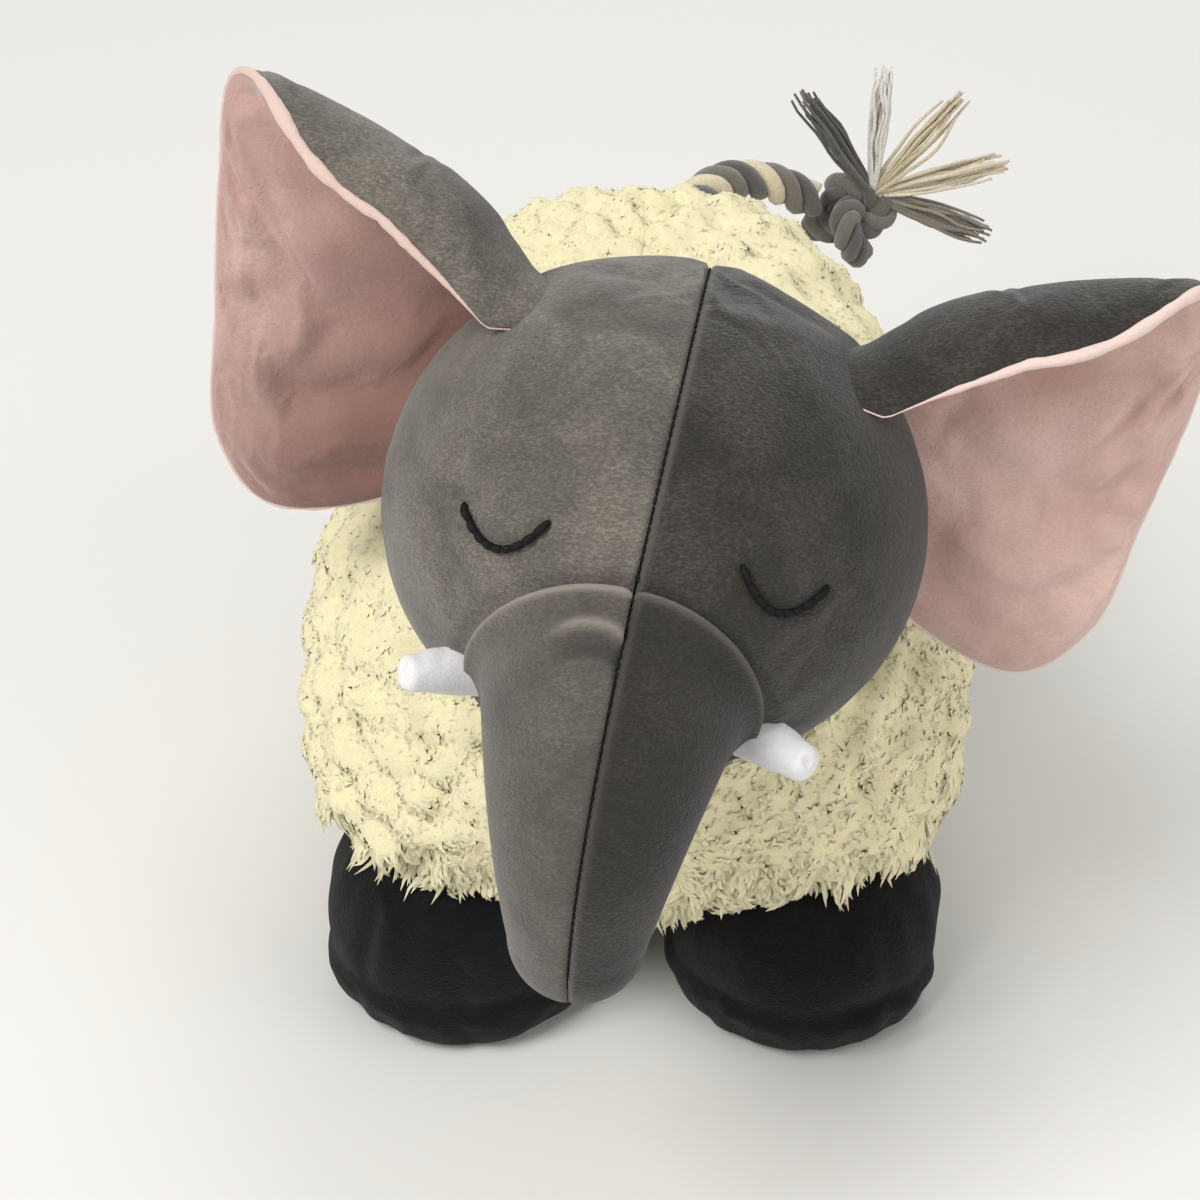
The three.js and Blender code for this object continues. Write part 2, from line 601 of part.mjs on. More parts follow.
// The outline in the flat, from the root's foot round by the lower tip and the outer edge to the upper edge.
const earOutline = new THREE.CatmullRomCurve3(
  [
    new THREE.Vector3(-0.15 * EAR_REACH, -0.25 * EAR_DROP, 0),
    new THREE.Vector3(0.26 * EAR_REACH, -EAR_DROP, 0),
    new THREE.Vector3(0.5 * EAR_REACH, -0.86 * EAR_DROP, 0),
    new THREE.Vector3(0.69 * EAR_REACH, -0.36 * EAR_DROP, 0),
    new THREE.Vector3(0.9 * EAR_REACH, 0.2 * EAR_RISE, 0),
    new THREE.Vector3(EAR_REACH, 0.53 * EAR_RISE, 0),
    new THREE.Vector3(0.67 * EAR_REACH, 0.95 * EAR_RISE, 0),
    new THREE.Vector3(0.25 * EAR_REACH, 1.05 * EAR_RISE, 0),
    new THREE.Vector3(-0.17 * EAR_REACH, 0.76 * EAR_RISE, 0),
  ],
  true,
);

// How far up the cloth the roll of the upper edge starts.
function earCrease(outwards) {
  const beyond = outwards - EAR_CURL_PEAK;
  const inwards = clamp(-beyond / EAR_CURL_PEAK, 0, 1);
  return EAR_RISE - EAR_CURL_WIDTH - EAR_CURL_FALL * Math.max(0, beyond) - EAR_CURL_DIP * inwards ** 2;
}

// A point of an ear in its own frame, by its share of the way from the middle to the rim, its share of
// the way round the rim and its height off the middle of the cloth.
function earPoint(share, around, height, side) {
  const rim = earOutline.getPoint(around);
  const outwards = lerp(EAR_MIDDLE, rim.x, share);
  const along = lerp(0, rim.y, share);
  const crease = earCrease(outwards);
  const roll = Math.max(0, along - crease) / EAR_CURL_RADIUS;
  const up = Math.min(along, crease) + (EAR_CURL_RADIUS - height) * Math.sin(roll);
  const front = EAR_CURL_RADIUS - (EAR_CURL_RADIUS - height) * Math.cos(roll);
  const dish = EAR_DISH * (1 - share ** 2);
  return new THREE.Vector3(side * outwards, dish - front, up);
}

// One layer of an ear, out to a ring of the outline, between two heights that vary from middle to rim.
function earLayer(side, rings, low, high) {
  const rows = 2 * rings + 1;
  const point = (row, spoke) => {
    const share = Math.min(row, rows - row) / EAR_RINGS;
    return earPoint(share, spoke / EAR_SPOKES, (row <= rings ? high : low)(share), side);
  };
  return closedSurface(point, [rows, EAR_SPOKES]);
}

function makeEar(name, side, headTool) {
  const group = new THREE.Group();
  group.name = `ear_${name}`;
  const sunkSide = cheekSide(EAR_SETBACK, EAR_LEVEL) - EAR_SINK;
  group.position.set(side * sunkSide, EAR_SETBACK, EAR_LEVEL);
  group.rotation.set(0, -side * degToRad(EAR_LEAN), side * degToRad(EAR_SWEEP), "YXZ");
  group.updateMatrix();

  // The head seen from the ear, at rest and at both ends of the ear's flap.
  const sweep = [0, -EAR_FLAP, EAR_FLAP].map((flap) =>
    solid(headTool.clone().applyMatrix4(group.matrix.clone().invert()).rotateZ(degToRad(flap))),
  );
  const trimmed = (geometry) => shape(sweep.reduce((ear, head) => ear.subtract(head), solid(geometry)));

  // The two cloths meet at the rim and part towards the middle, where the wadding lies between them.
  const inner = (share) => FIT_GAP / 2 + (EAR_FILL / 2 + FIT_GAP) * (1 - share ** 2) ** 0.25;
  const outer = (share) => inner(share) + EAR_CLOTH;
  const fill = (share) => inner(share) - FIT_GAP;
  const minus = (height) => (share) => -height(share);
  const lining = earLayer(side, EAR_RINGS, inner, outer);
  addPiece(group, `ear_lining_${name}`, trimmed(lining), cloth(LINING_PINK));
  const back = earLayer(side, EAR_RINGS, minus(outer), minus(inner));
  addPiece(group, `ear_back_${name}`, trimmed(back), cloth(PLUSH_GREY));
  const wadding = earLayer(side, EAR_RINGS - 1, minus(fill), fill);
  addPiece(group, `ear_wadding_${name}`, trimmed(wadding), cloth(FIBRE_WHITE));
  return group;
}

// Head: two plush panels over one wad of fibre, open at the neck and around the trunk's root

function makeHead() {
  const group = new THREE.Group();
  group.name = "head";
  group.position.copy(headCentre);
  group.quaternion.copy(headTurn);

  const neckInHead = neckTurn.clone().premultiply(headTurn.clone().invert());
  const neckHole = new THREE.CylinderGeometry(NECK_OPENING / 2, NECK_OPENING / 2, neckSocketRadius, ROUND)
    .rotateX(Math.PI / 2)
    .translate(0, 0, neckSocketRadius)
    .applyQuaternion(neckInHead);
  const wall = solid(headSurface(0, SHOWN)).subtract(solid(headSurface(PLUSH, HIDDEN)));
  const cover = wall.subtract(trunkSweep).subtract(solid(neckHole));
  for (const [name, side] of SIDES) {
    const half = solid(box(corner(FIT_GAP / 2, -far, -far), corner(far, far, far)).scale(side, 1, 1));
    addPiece(group, `head_cover_${name}`, shape(cover.intersect(half)), cloth(PLUSH_GREY));
    addPiece(group, `tusk_${name}`, shape(makeTusk(side)), cloth(FELT_WHITE));
    addPiece(group, `eye_stitch_${name}`, makeEye(side), cloth(THREAD_BLACK, 0.6));
    group.add(makeEar(name, side, headSurface(-FIT_GAP, SHOWN)));
  }
  const fibre = solid(headSurface(PLUSH + FIT_GAP, HIDDEN)).subtract(trunkSweep);
  addPiece(group, "head_stuffing", shape(fibre), cloth(FIBRE_WHITE));
  group.add(makeTrunk());
  return group;
}

// Tail: a stiff cotton rope sewn into the rump, ending in a knot with its strands frayed out

function makeTail() {
  const group = new THREE.Group();
  group.position.set(TAIL_SIDE, rumpBack, TAIL_LEVEL);
  const route = new THREE.CatmullRomCurve3([
    new THREE.Vector3(0, -30, 0),
    new THREE.Vector3(0, 0, 0),
    new THREE.Vector3(4, 22, 1),
    new THREE.Vector3(16, 42, 0),
    new THREE.Vector3(34, 55, -7),
    new THREE.Vector3(50, 62, -18),
  ]);
  const section = new THREE.Shape().absarc(0, 0, TAIL_DIAMETER / 2, 0, 2 * Math.PI);
  const rope = new THREE.ExtrudeGeometry(section, {
    curveSegments: TAIL_SIDES / 2,
    steps: TAIL_STEPS,
    extrudePath: route,
  });
  const rump = fleeceSolid(FIT_GAP).translate(group.position.clone().negate().toArray());
  addPiece(group, "tail_rope", shape(solid(rope).subtract(rump)), cloth(ROPE_GREY));

  const ahead = route.getTangent(1);
  const radius = TAIL_KNOT_DIAMETER / 2;
  const knotCentre = route.getPoint(1).addScaledVector(ahead, radius + FIT_GAP);
  const knotPoint = (grown) => (row, column) => {
    const polar = (Math.PI * row) / KNOT_GRID[0];
    const turn = (2 * Math.PI * column) / KNOT_GRID[1];
    const dent = (TAIL_KNOT_DENT / 2) * Math.sin(polar) * (1 + Math.cos(2 * turn + 3 * polar));
    return new THREE.Vector3().setFromSphericalCoords(radius - dent + grown, polar, turn);
  };
  const knotTurn = new THREE.Quaternion().setFromUnitVectors(Y_AXIS, ahead);
  const knot = (grown) =>
    closedSurface(knotPoint(grown), KNOT_GRID).applyQuaternion(knotTurn).translate(...knotCentre.toArray());
  addPiece(group, "tail_knot", knot(0), cloth(ROPE_GREY));

  // The frayed strands spring from one root that is cut to the knot, and fan out in an upright plane.
  const strandRadius = TAIL_STRAND_DIAMETER / 2;
  const fanPoint = (degrees, reach) =>
    new THREE.Vector3(Math.cos(degToRad(degrees)), 0, Math.sin(degToRad(degrees))).multiplyScalar(reach);
  const fanRoot = fanPoint(TAIL_FAN_MIDDLE, radius).add(knotCentre);
  const strandPoint = (degrees) => (row, column) => {
    const along = row / STRAND_GRID[0];
    const turn = (2 * Math.PI * column) / STRAND_GRID[1];
    const swell = strandRadius * Math.sin(Math.PI * along) ** 0.5;
    const spoke = fanPoint(degrees + 90, swell * Math.cos(turn)).setY(swell * Math.sin(turn));
    return fanPoint(degrees, lerp(-strandRadius, TAIL_TASSEL_LENGTH, along)).add(spoke);
  };
  const strands = Array.from({ length: TAIL_STRANDS }, (_, i) => {
    const share = i / (TAIL_STRANDS - 1) - 0.5;
    return solid(closedSurface(strandPoint(TAIL_FAN_MIDDLE + share * TAIL_FAN_SPREAD), STRAND_GRID));
  });
  const fan = strands.reduce((sum, strand) => sum.add(strand)).translate(fanRoot.toArray());
  addPiece(group, "tail_tassel", shape(fan.subtract(solid(knot(FIT_GAP)))), cloth(SHERPA_CREAM));
  return group;
}

const assembly = new THREE.Group();
assembly.add(makeBody(), makeSqueaker(), makeNeck(), makeHead(), makeTail());
for (const [name, hip] of LEGS) assembly.add(makeLeg(name, hip));

// The origin goes on the floor under the middle of the toy without its tail.
assembly.updateMatrixWorld(true);
const standing = new THREE.Box3();
assembly.traverse((part) => {
  if (part.isMesh && !part.name.startsWith("tail")) standing.expandByObject(part, true);
});
const middle = standing.getCenter(new THREE.Vector3());
assembly.position.set(-middle.x, -middle.y, -standing.min.z);

const toy = new THREE.Group();
toy.add(assembly);

export default toy;
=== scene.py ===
"""Looks of a plush elephant dog toy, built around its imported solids.

Arrays are in millimetres, in the toy's own frame: it faces -Y, its left side is +X and it stands on z = 0.
The mesh builder turns them into Blender's metres. Sections follow the toy as it is sewn and stuffed.
"""

import json
import math

import bmesh
import bpy
import numpy as np
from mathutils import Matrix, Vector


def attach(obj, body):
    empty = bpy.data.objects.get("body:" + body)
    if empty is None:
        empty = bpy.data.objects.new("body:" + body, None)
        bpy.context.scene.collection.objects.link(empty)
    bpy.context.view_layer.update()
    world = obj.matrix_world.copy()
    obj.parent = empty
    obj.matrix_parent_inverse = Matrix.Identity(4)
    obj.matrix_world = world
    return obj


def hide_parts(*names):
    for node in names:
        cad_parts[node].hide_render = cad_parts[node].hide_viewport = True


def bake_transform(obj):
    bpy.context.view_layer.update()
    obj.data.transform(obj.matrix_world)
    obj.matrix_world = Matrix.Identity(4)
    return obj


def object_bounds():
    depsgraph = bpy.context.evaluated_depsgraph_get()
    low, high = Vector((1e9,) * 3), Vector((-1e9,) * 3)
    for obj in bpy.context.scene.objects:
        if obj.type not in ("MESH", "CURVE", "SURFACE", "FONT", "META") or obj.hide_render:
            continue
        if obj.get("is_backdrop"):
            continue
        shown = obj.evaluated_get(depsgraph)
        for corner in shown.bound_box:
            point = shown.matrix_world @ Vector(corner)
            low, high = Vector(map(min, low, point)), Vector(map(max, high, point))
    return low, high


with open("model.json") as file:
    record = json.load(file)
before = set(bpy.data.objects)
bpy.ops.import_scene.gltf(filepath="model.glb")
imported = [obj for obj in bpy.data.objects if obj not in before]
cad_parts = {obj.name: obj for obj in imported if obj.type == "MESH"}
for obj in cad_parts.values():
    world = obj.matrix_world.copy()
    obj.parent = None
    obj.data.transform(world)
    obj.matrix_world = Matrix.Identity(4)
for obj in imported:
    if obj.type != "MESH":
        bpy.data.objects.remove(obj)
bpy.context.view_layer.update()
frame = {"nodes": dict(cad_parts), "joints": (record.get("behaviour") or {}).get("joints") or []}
scene = bpy.context.scene
scene.view_settings.view_transform = "Standard"
joints = {joint["name"]: joint for joint in frame["joints"]}


def pivot(name):
    """Where a joint is, in millimetres."""
    return 1000 * np.array(joints[name]["pos_m"])


# Camera: in front of the toy and well above it, with a long lens that keeps the near trunk from swelling.
# It aims a little below the head.

CAMERA_FROM_HEAD = (-0.2, -588, 378)  # millimetres from the head's centre
CAMERA_AZIMUTH = 1.5  # degrees
CAMERA_ELEVATION = 35
CAMERA_LENS = 78  # millimetres on a 36 mm sensor

head_centre = pivot("neck_twist")
camera = bpy.data.objects.new("camera", bpy.data.cameras.new("camera"))
camera.data.lens = CAMERA_LENS
camera.location = (head_centre + CAMERA_FROM_HEAD) / 1000
camera.rotation_euler = (math.radians(90 - CAMERA_ELEVATION), 0, math.radians(CAMERA_AZIMUTH))
scene.collection.objects.link(camera)
scene.camera = camera

# Studio: a pale painted floor that fades into the backdrop round the toy, one broad soft lamp high on the
# left of the view as from a window, a weak one opposite, one behind, and even light from all round.

FLOOR_HALF = 12  # metres
FLOOR_PAINT = "#e7e5e1"
FLOOR_FADE = (0.6, 1.9)  # metres from the toy at which the floor starts to fade and is gone
SKY_PALE = "#f2f1ee"
SKY_LEVEL = 0.42  # share of full daylight that comes from all round
LAMPS = [  # name, place in metres, width in metres, share of full daylight at the toy
    ("window", (-1.15, -1.05, 1.85), 1.2, 0.77),
    ("bounce", (1.5, -0.9, 0.9), 1.6, 0.3),
    ("back", (0.3, 1.6, 1.7), 1.4, 0.3),
]
LAMP_AIM = np.array([0, 0, 0.14])


def colour(hex_value):
    """sRGB hex to linear: c/12.92 up to 0.04045, and ((c + 0.055)/1.055) to the power 2.4 above."""
    channels = np.array([int(hex_value[i : i + 2], 16) for i in (1, 3, 5)]) / 255
    linear = np.where(channels <= 0.04045, channels / 12.92, ((channels + 0.055) / 1.055) ** 2.4)
    return (*map(float, linear), 1.0)


def add_node(tree, kind, inputs=None, **settings):
    """Adds a node with its settings. An input is a value for its socket or another node's output."""
    made = tree.nodes.new(kind)
    for name, value in settings.items():
        setattr(made, name, value)
    for name, value in (inputs or {}).items():
        if isinstance(value, bpy.types.NodeSocket):
            tree.links.new(value, made.inputs[name])
        else:
            made.inputs[name].default_value = value
    return made


def start_material(name, **sockets):
    """A material, its node tree and its one shader, whose sockets are named with _ for a space."""
    made = bpy.data.materials.new(name)
    made.use_nodes = True
    made.node_tree.nodes.clear()
    values = {key.replace("_", " "): value for key, value in sockets.items()}
    shader = add_node(made.node_tree, "ShaderNodeBsdfPrincipled", values)
    add_node(made.node_tree, "ShaderNodeOutputMaterial", {"Surface": shader.outputs["BSDF"]})
    return made, made.node_tree, shader


def finish_material(tree, shader, tint, rough):
    """Gives a shader its colour and its bump."""
    tree.links.new(tint.outputs["Color"], shader.inputs["Base Color"])
    tree.links.new(rough.outputs["Normal"], shader.inputs["Normal"])


# Matt floor paint: even, with only a faint cloudiness from the roller.
floor_paint, tree, shader = start_material("matt_floor_paint", Roughness=0.9)
clouds = add_node(tree, "ShaderNodeTexNoise", {"Scale": 2.0, "Detail": 2.0})
pale = add_node(tree, "ShaderNodeMixRGB", {"Fac": clouds.outputs["Fac"], "Color1": colour(FLOOR_PAINT),
                                           "Color2": colour("#e2e0dc")})
tree.links.new(pale.outputs["Color"], shader.inputs["Base Color"])
ground_place = add_node(tree, "ShaderNodeTexCoord").outputs["Object"]
from_toy = add_node(tree, "ShaderNodeVectorMath", {0: ground_place}, operation="LENGTH")
fade = add_node(tree, "ShaderNodeMapRange", {"Value": from_toy.outputs["Value"], "From Min": FLOOR_FADE[0],
                                             "From Max": FLOOR_FADE[1]}, interpolation_type="SMOOTHSTEP")
seen = add_node(tree, "ShaderNodeLightPath").outputs["Is Camera Ray"]
gone = add_node(tree, "ShaderNodeMath", {0: fade.outputs["Result"], 1: seen}, operation="MULTIPLY")
backdrop = add_node(tree, "ShaderNodeEmission", {"Color": colour(SKY_PALE), "Strength": 1.0})
faded = add_node(tree, "ShaderNodeMixShader", {0: gone.outputs["Value"], 1: shader.outputs["BSDF"],
                                               2: backdrop.outputs["Emission"]})
tree.links.new(faded.outputs["Shader"], tree.nodes["Material Output"].inputs["Surface"])

floor_mesh = bpy.data.meshes.new("floor")
floor_corners = [(x * FLOOR_HALF, y * FLOOR_HALF, 0) for x, y in [(-1, -1), (1, -1), (1, 1), (-1, 1)]]
floor_mesh.from_pydata(floor_corners, [], [(0, 1, 2, 3)])
floor_mesh.materials.append(floor_paint)
floor = bpy.data.objects.new("floor", floor_mesh)
scene.collection.objects.link(floor)
floor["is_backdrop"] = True

world = bpy.data.worlds.new("studio")
world.use_nodes = True
world.node_tree.nodes.clear()
seen = add_node(world.node_tree, "ShaderNodeLightPath").outputs["Is Camera Ray"]
lit = add_node(world.node_tree, "ShaderNodeBackground", {"Color": (1, 1, 1, 1), "Strength": SKY_LEVEL})
shown = add_node(world.node_tree, "ShaderNodeBackground", {"Color": colour(SKY_PALE), "Strength": 1.0})
sky = add_node(world.node_tree, "ShaderNodeMixShader", {0: seen, 1: lit.outputs[0], 2: shown.outputs[0]})
add_node(world.node_tree, "ShaderNodeOutputWorld", {"Surface": sky.outputs[0]})
scene.world = world

for name, place, width, level in LAMPS:
    lamp = bpy.data.lights.new(name, "AREA")
    lamp.size = width
    lamp.energy = level * math.pi**2 * float(np.sum((LAMP_AIM - place) ** 2))
    stand = bpy.data.objects.new(name, lamp)
    stand.location = place
    towards = LAMP_AIM - place
    tilt = math.acos(-towards[2] / np.linalg.norm(towards))
    stand.rotation_euler = (tilt, 0, math.atan2(-towards[0], towards[1]))
    scene.collection.objects.link(stand)

# Squeaker: a blow-moulded bulb of soft PVC with a reed insert pressed into its neck. It lies loose between
# the two wads of the body's stuffing.

MOULDED_WHITE = "#dfe3e6"
MOULD_GRAIN = 0.6  # millimetres, the spark-eroded mould's grain


def cells(size):
    """How many cells of a pattern fit in a metre, if each is this many millimetres."""
    return 1000 / size


# Blow-moulded PVC: milky, waxy, with a fine grain from the mould.
pvc, tree, shader = start_material("blow_moulded_pvc", Roughness=0.42, IOR=1.53, Subsurface_Weight=0.3,
                                   Subsurface_Scale=0.004)
place = add_node(tree, "ShaderNodeTexCoord").outputs["Object"]
grain = add_node(tree, "ShaderNodeTexNoise", {"Vector": place, "Scale": cells(MOULD_GRAIN), "Detail": 3.0})
milk = add_node(tree, "ShaderNodeTexNoise", {"Vector": place, "Scale": cells(9), "Detail": 2.0})
tint = add_node(tree, "ShaderNodeMixRGB", {"Fac": milk.outputs["Fac"], "Color1": colour(MOULDED_WHITE),
                                           "Color2": colour("#ccd2d6")})
rough = add_node(tree, "ShaderNodeBump", {"Height": grain.outputs["Fac"], "Strength": 0.25,
                                          "Distance": 0.0003})
finish_material(tree, shader, tint, rough)
for node in ("squeaker_bulb", "squeaker_reed"):
    frame["nodes"][node].data.materials.clear()
    frame["nodes"][node].data.materials.append(pvc)

# Body stuffing: two wads of polyester fibre pushed in from the back seam, one before and one behind the
# squeaker, dented by the head, by the four hips and by the squeaker.

BODY_LENGTH = 276
BODY_WIDTHS = (224, 188)  # chest and rump
BODY_HEIGHTS = (156, 178)
BELLY_HEIGHT = 24
BODY_END_POWER = 3.3  # how square the chest and rump are, 2 being an ellipse
BODY_SECTION_POWER = 2.6
BODY_SAG = 0.17  # share by which the section widens towards the belly
CLUMP_GRID = (24, 40)  # fields of clumps from chest to rump and around
CLUMP_DEPTH = 5
CLUMPS_BEGIN = 0.35  # share of the way out from the middle of chest and rump
CLUMPS_FULL = 0.65
CLUMP_DRIFT = (0.3, 60)  # share of its field that a clump strays, and size of strays on a ball of 100 mm
FRONT_HIP_SETBACK = 46  # hip behind the front of the chest
FLEECE = 9  # sherpa with its curls
HEAD_SOCKET = 78.2  # radius of the hollow that the head turns in
HIP_SOCKET = 42.4
SQUEAKER_POCKET = (23.6, 91.6, 127)  # radius, lowest and highest level
POCKET_WITHIN = 0.9  # share of the way to a wad's rim
SEAT = 0.35  # between pieces that sit on each other, as in the solids
WAD_GAP = 0.4  # between soft pieces that touch
WAD_LUMPS = (0.8, 16)  # depth and size
WAD_SLACK = 4  # a wad's room behind cloth that its seams draw in
FIBRE_WHITE = "#f4f3ef"

LEGS = ("front_left", "front_right", "rear_left", "rear_right")
hips = {leg: pivot(f"leg_swing_{leg}") for leg in LEGS}
body_middle = np.array([
    (hips["front_left"][0] + hips["front_right"][0]) / 2,
    hips["front_left"][1] - FRONT_HIP_SETBACK + BODY_LENGTH / 2,
    BELLY_HEIGHT + sum(BODY_HEIGHTS) / 4,
])


def unit(vectors):
    """Vectors made one long."""
    return vectors / np.maximum(np.linalg.norm(vectors, axis=-1, keepdims=True), 1e-12)


def disc_grid(steps):
    """A square grid drawn round into a disc, u * sqrt(1 - v * v / 2) and the like, and the disc's radius."""
    u, v = np.meshgrid(np.linspace(-1, 1, steps), np.linspace(-1, 1, steps))
    a, b = u * np.sqrt(1 - v * v / 2), v * np.sqrt(1 - u * u / 2)
    return a, b, np.clip(np.hypot(a, b), 1e-9, 1)


def half_ball(steps, crowd=1.0):
    """Directions over half a ball: a disc is bent over it, its radius becoming the angle from the pole. A
    crowd above 1 draws the rings towards the rim. Returns the parts along the pole and along the two other
    axes, and the disc's radius."""
    a, b, share = disc_grid(steps)
    bend = (1 - (1 - share) ** crowd) * math.pi / 2
    return np.cos(bend), np.sin(bend) * a / share, np.sin(bend) * b / share, share


def body_surface(direction, inset):
    """The body's outside, less an inset, in a direction from its middle: squared ovals along and across it,
    whose width and height run from chest to rump and whose width grows towards the belly."""
    ring = np.maximum(np.hypot(direction[..., 0], direction[..., 2]), 1e-9)
    length = np.abs(direction[..., 1])
    size = (length**BODY_END_POWER + ring**BODY_END_POWER) ** (1 / BODY_END_POWER)
    along, end = direction[..., 1] / size, ring / size
    across, up = direction[..., 0] / ring, direction[..., 2] / ring
    size = np.abs(across) ** BODY_SECTION_POWER + np.abs(up) ** BODY_SECTION_POWER
    size = np.maximum(size ** (1 / BODY_SECTION_POWER), 1e-9)
    across, up = across / size, up / size
    width = np.interp(along, (-1, 1), BODY_WIDTHS)
    height = np.interp(along, (-1, 1), BODY_HEIGHTS)
    x = body_middle[0] + (width / 2 - inset) * end * across * (1 - BODY_SAG * up)
    y = body_middle[1] + (BODY_LENGTH / 2 - inset) * along
    z = BELLY_HEIGHT + height / 2 + (height / 2 - inset) * end * up
    return np.stack([x, y, z], axis=-1)


def clump_dip(direction):
    """How far the fleece lies below the tops of its clumps: half of 1 - cos(pi row) cos(pi column), so that
    tops and dips alternate like the fields of a chessboard, each a little astray. It fades out on the
    middle of chest and rump."""
    ring = np.hypot(direction[..., 0], direction[..., 2])
    stray, apart = CLUMP_DRIFT
    row = np.arctan2(ring, -direction[..., 1]) / math.pi * CLUMP_GRID[0]
    row = row + stray * lumps(100 * direction, apart, 5)
    column = np.arctan2(direction[..., 2], direction[..., 0]) / (2 * math.pi) * CLUMP_GRID[1] - 0.5
    column = column + stray * lumps(100 * direction, apart, 6)
    out = np.clip((ring - CLUMPS_BEGIN) / (CLUMPS_FULL - CLUMPS_BEGIN), 0, 1)
    wave = 1 - np.cos(math.pi * row) * np.cos(math.pi * column)
    return CLUMP_DEPTH / 2 * wave * out * out * (3 - 2 * out)


def hollow(points, middle, ball, radius):
    """Dents a surface that goes round a middle where a ball stands in it: a point inside the ball slides
    along its ray from the middle to where the ray enters the ball."""
    length = np.linalg.norm(points - middle, axis=-1)
    ray = unit(points - middle)
    nearest = ray @ (ball - middle)
    half = np.sqrt(np.clip(radius**2 - np.sum((ball - middle) ** 2) + nearest**2, 0, None))
    inside = (length > nearest - half) & (length < nearest + half)
    return middle + ray * np.where(inside, nearest - half, length)[..., None]


def body_sockets(points, grown):
    """The body's surface with its hollows for the head and the four hips."""
    points = hollow(points, body_middle, head_centre, HEAD_SOCKET + grown)
    for hip in hips.values():
        points = hollow(points, body_middle, hip, HIP_SOCKET + grown)
    return points


def grid_quads(rows, columns, around=False, count=1):
    """Corner numbers of the quads of some grids of points, each closed past its last column if around."""
    first = np.arange(count)[:, None, None] * rows * columns
    row = np.arange(rows - 1)[None, :, None] * columns
    column = np.arange(columns if around else columns - 1)[None, None, :]
    a = first + row + column
    b = first + row + (column + 1) % columns
    return np.stack([a, b, b + columns, a + columns], axis=-1).reshape(-1, 4)


def face_out(points, faces, inside=(0, 0, 0)):
    """Turns the faces round if, by area, they look towards the inside, one point or one for each face."""
    a, b, c = (points[faces[:, k]] for k in range(3))
    looks_out = np.sum(np.cross(b - a, c - a) * (a - np.asarray(inside))) > 0
    return faces if looks_out else faces[:, ::-1]


def add_piece(name, points, faces, material):
    """A smooth mesh object at the origin from points in millimetres and arrays of corner numbers."""
    points = points.reshape(-1, 3)
    used, corners = np.unique(np.concatenate([group.ravel() for group in faces]), return_inverse=True)
    sides = np.concatenate([np.full(len(group), group.shape[1]) for group in faces])
    mesh = bpy.data.meshes.new(name)
    mesh.vertices.add(len(used))
    mesh.vertices.foreach_set("co", (points[used] / 1000).astype(np.float32).ravel())
    mesh.loops.add(len(corners))
    mesh.loops.foreach_set("vertex_index", corners.astype(np.int32).ravel())
    mesh.polygons.add(len(sides))
    mesh.polygons.foreach_set("loop_start", (np.cumsum(sides) - sides).astype(np.int32))
    mesh.update(calc_edges=True)
    mesh.shade_smooth()
    mesh.materials.append(material)
    piece = bpy.data.objects.new(name, mesh)
    scene.collection.objects.link(piece)
    return piece


def weld(piece):
    """Joins points that lie together, so that a closed shape has no seam, and turns its faces out."""
    work = bmesh.new()
    work.from_mesh(piece.data)
    bmesh.ops.remove_doubles(work, verts=work.verts, dist=2e-5)
    bmesh.ops.dissolve_degenerate(work, edges=work.edges, dist=1e-6)
    bmesh.ops.recalc_face_normals(work, faces=work.faces)
    work.to_mesh(piece.data)
    work.free()
    piece.data.shade_smooth()


def lumps(points, size, seed, waves=14):
    """Soft lumps from -1 to 1: a sum of sine waves in directions drawn at random, about a size long."""
    rng = np.random.default_rng(seed)
    ways = unit(rng.normal(size=(waves, 3))) * 2 * math.pi / (size * rng.uniform(0.75, 1.4, (waves, 1)))
    heights = np.sin(points @ ways.T + rng.uniform(0, 2 * math.pi, waves)).sum(-1)
    return np.clip(heights / math.sqrt(waves), -1, 1)


# Hollow polyester fibre: dull white, crimped fibres that scatter light deep into the wad.
# Fibres are 0.03 mm, and their crimp is drawn at 1.6 mm.
fibre_fill, tree, shader = start_material("hollow_polyester_fibre", Roughness=1.0, Subsurface_Weight=0.4,
                                          Subsurface_Scale=0.006, Sheen_Weight=0.4)
place = add_node(tree, "ShaderNodeTexCoord").outputs["Object"]
crimp = add_node(tree, "ShaderNodeTexNoise", {"Vector": place, "Scale": cells(1.6), "Detail": 5.0,
                                              "Distortion": 1.5})
tint = add_node(tree, "ShaderNodeMixRGB", {"Fac": crimp.outputs["Fac"], "Color1": colour("#dcdad3"),
                                           "Color2": colour(FIBRE_WHITE)})
rough = add_node(tree, "ShaderNodeBump", {"Height": crimp.outputs["Fac"], "Strength": 0.7, "Distance": 0.001})
finish_material(tree, shader, tint, rough)

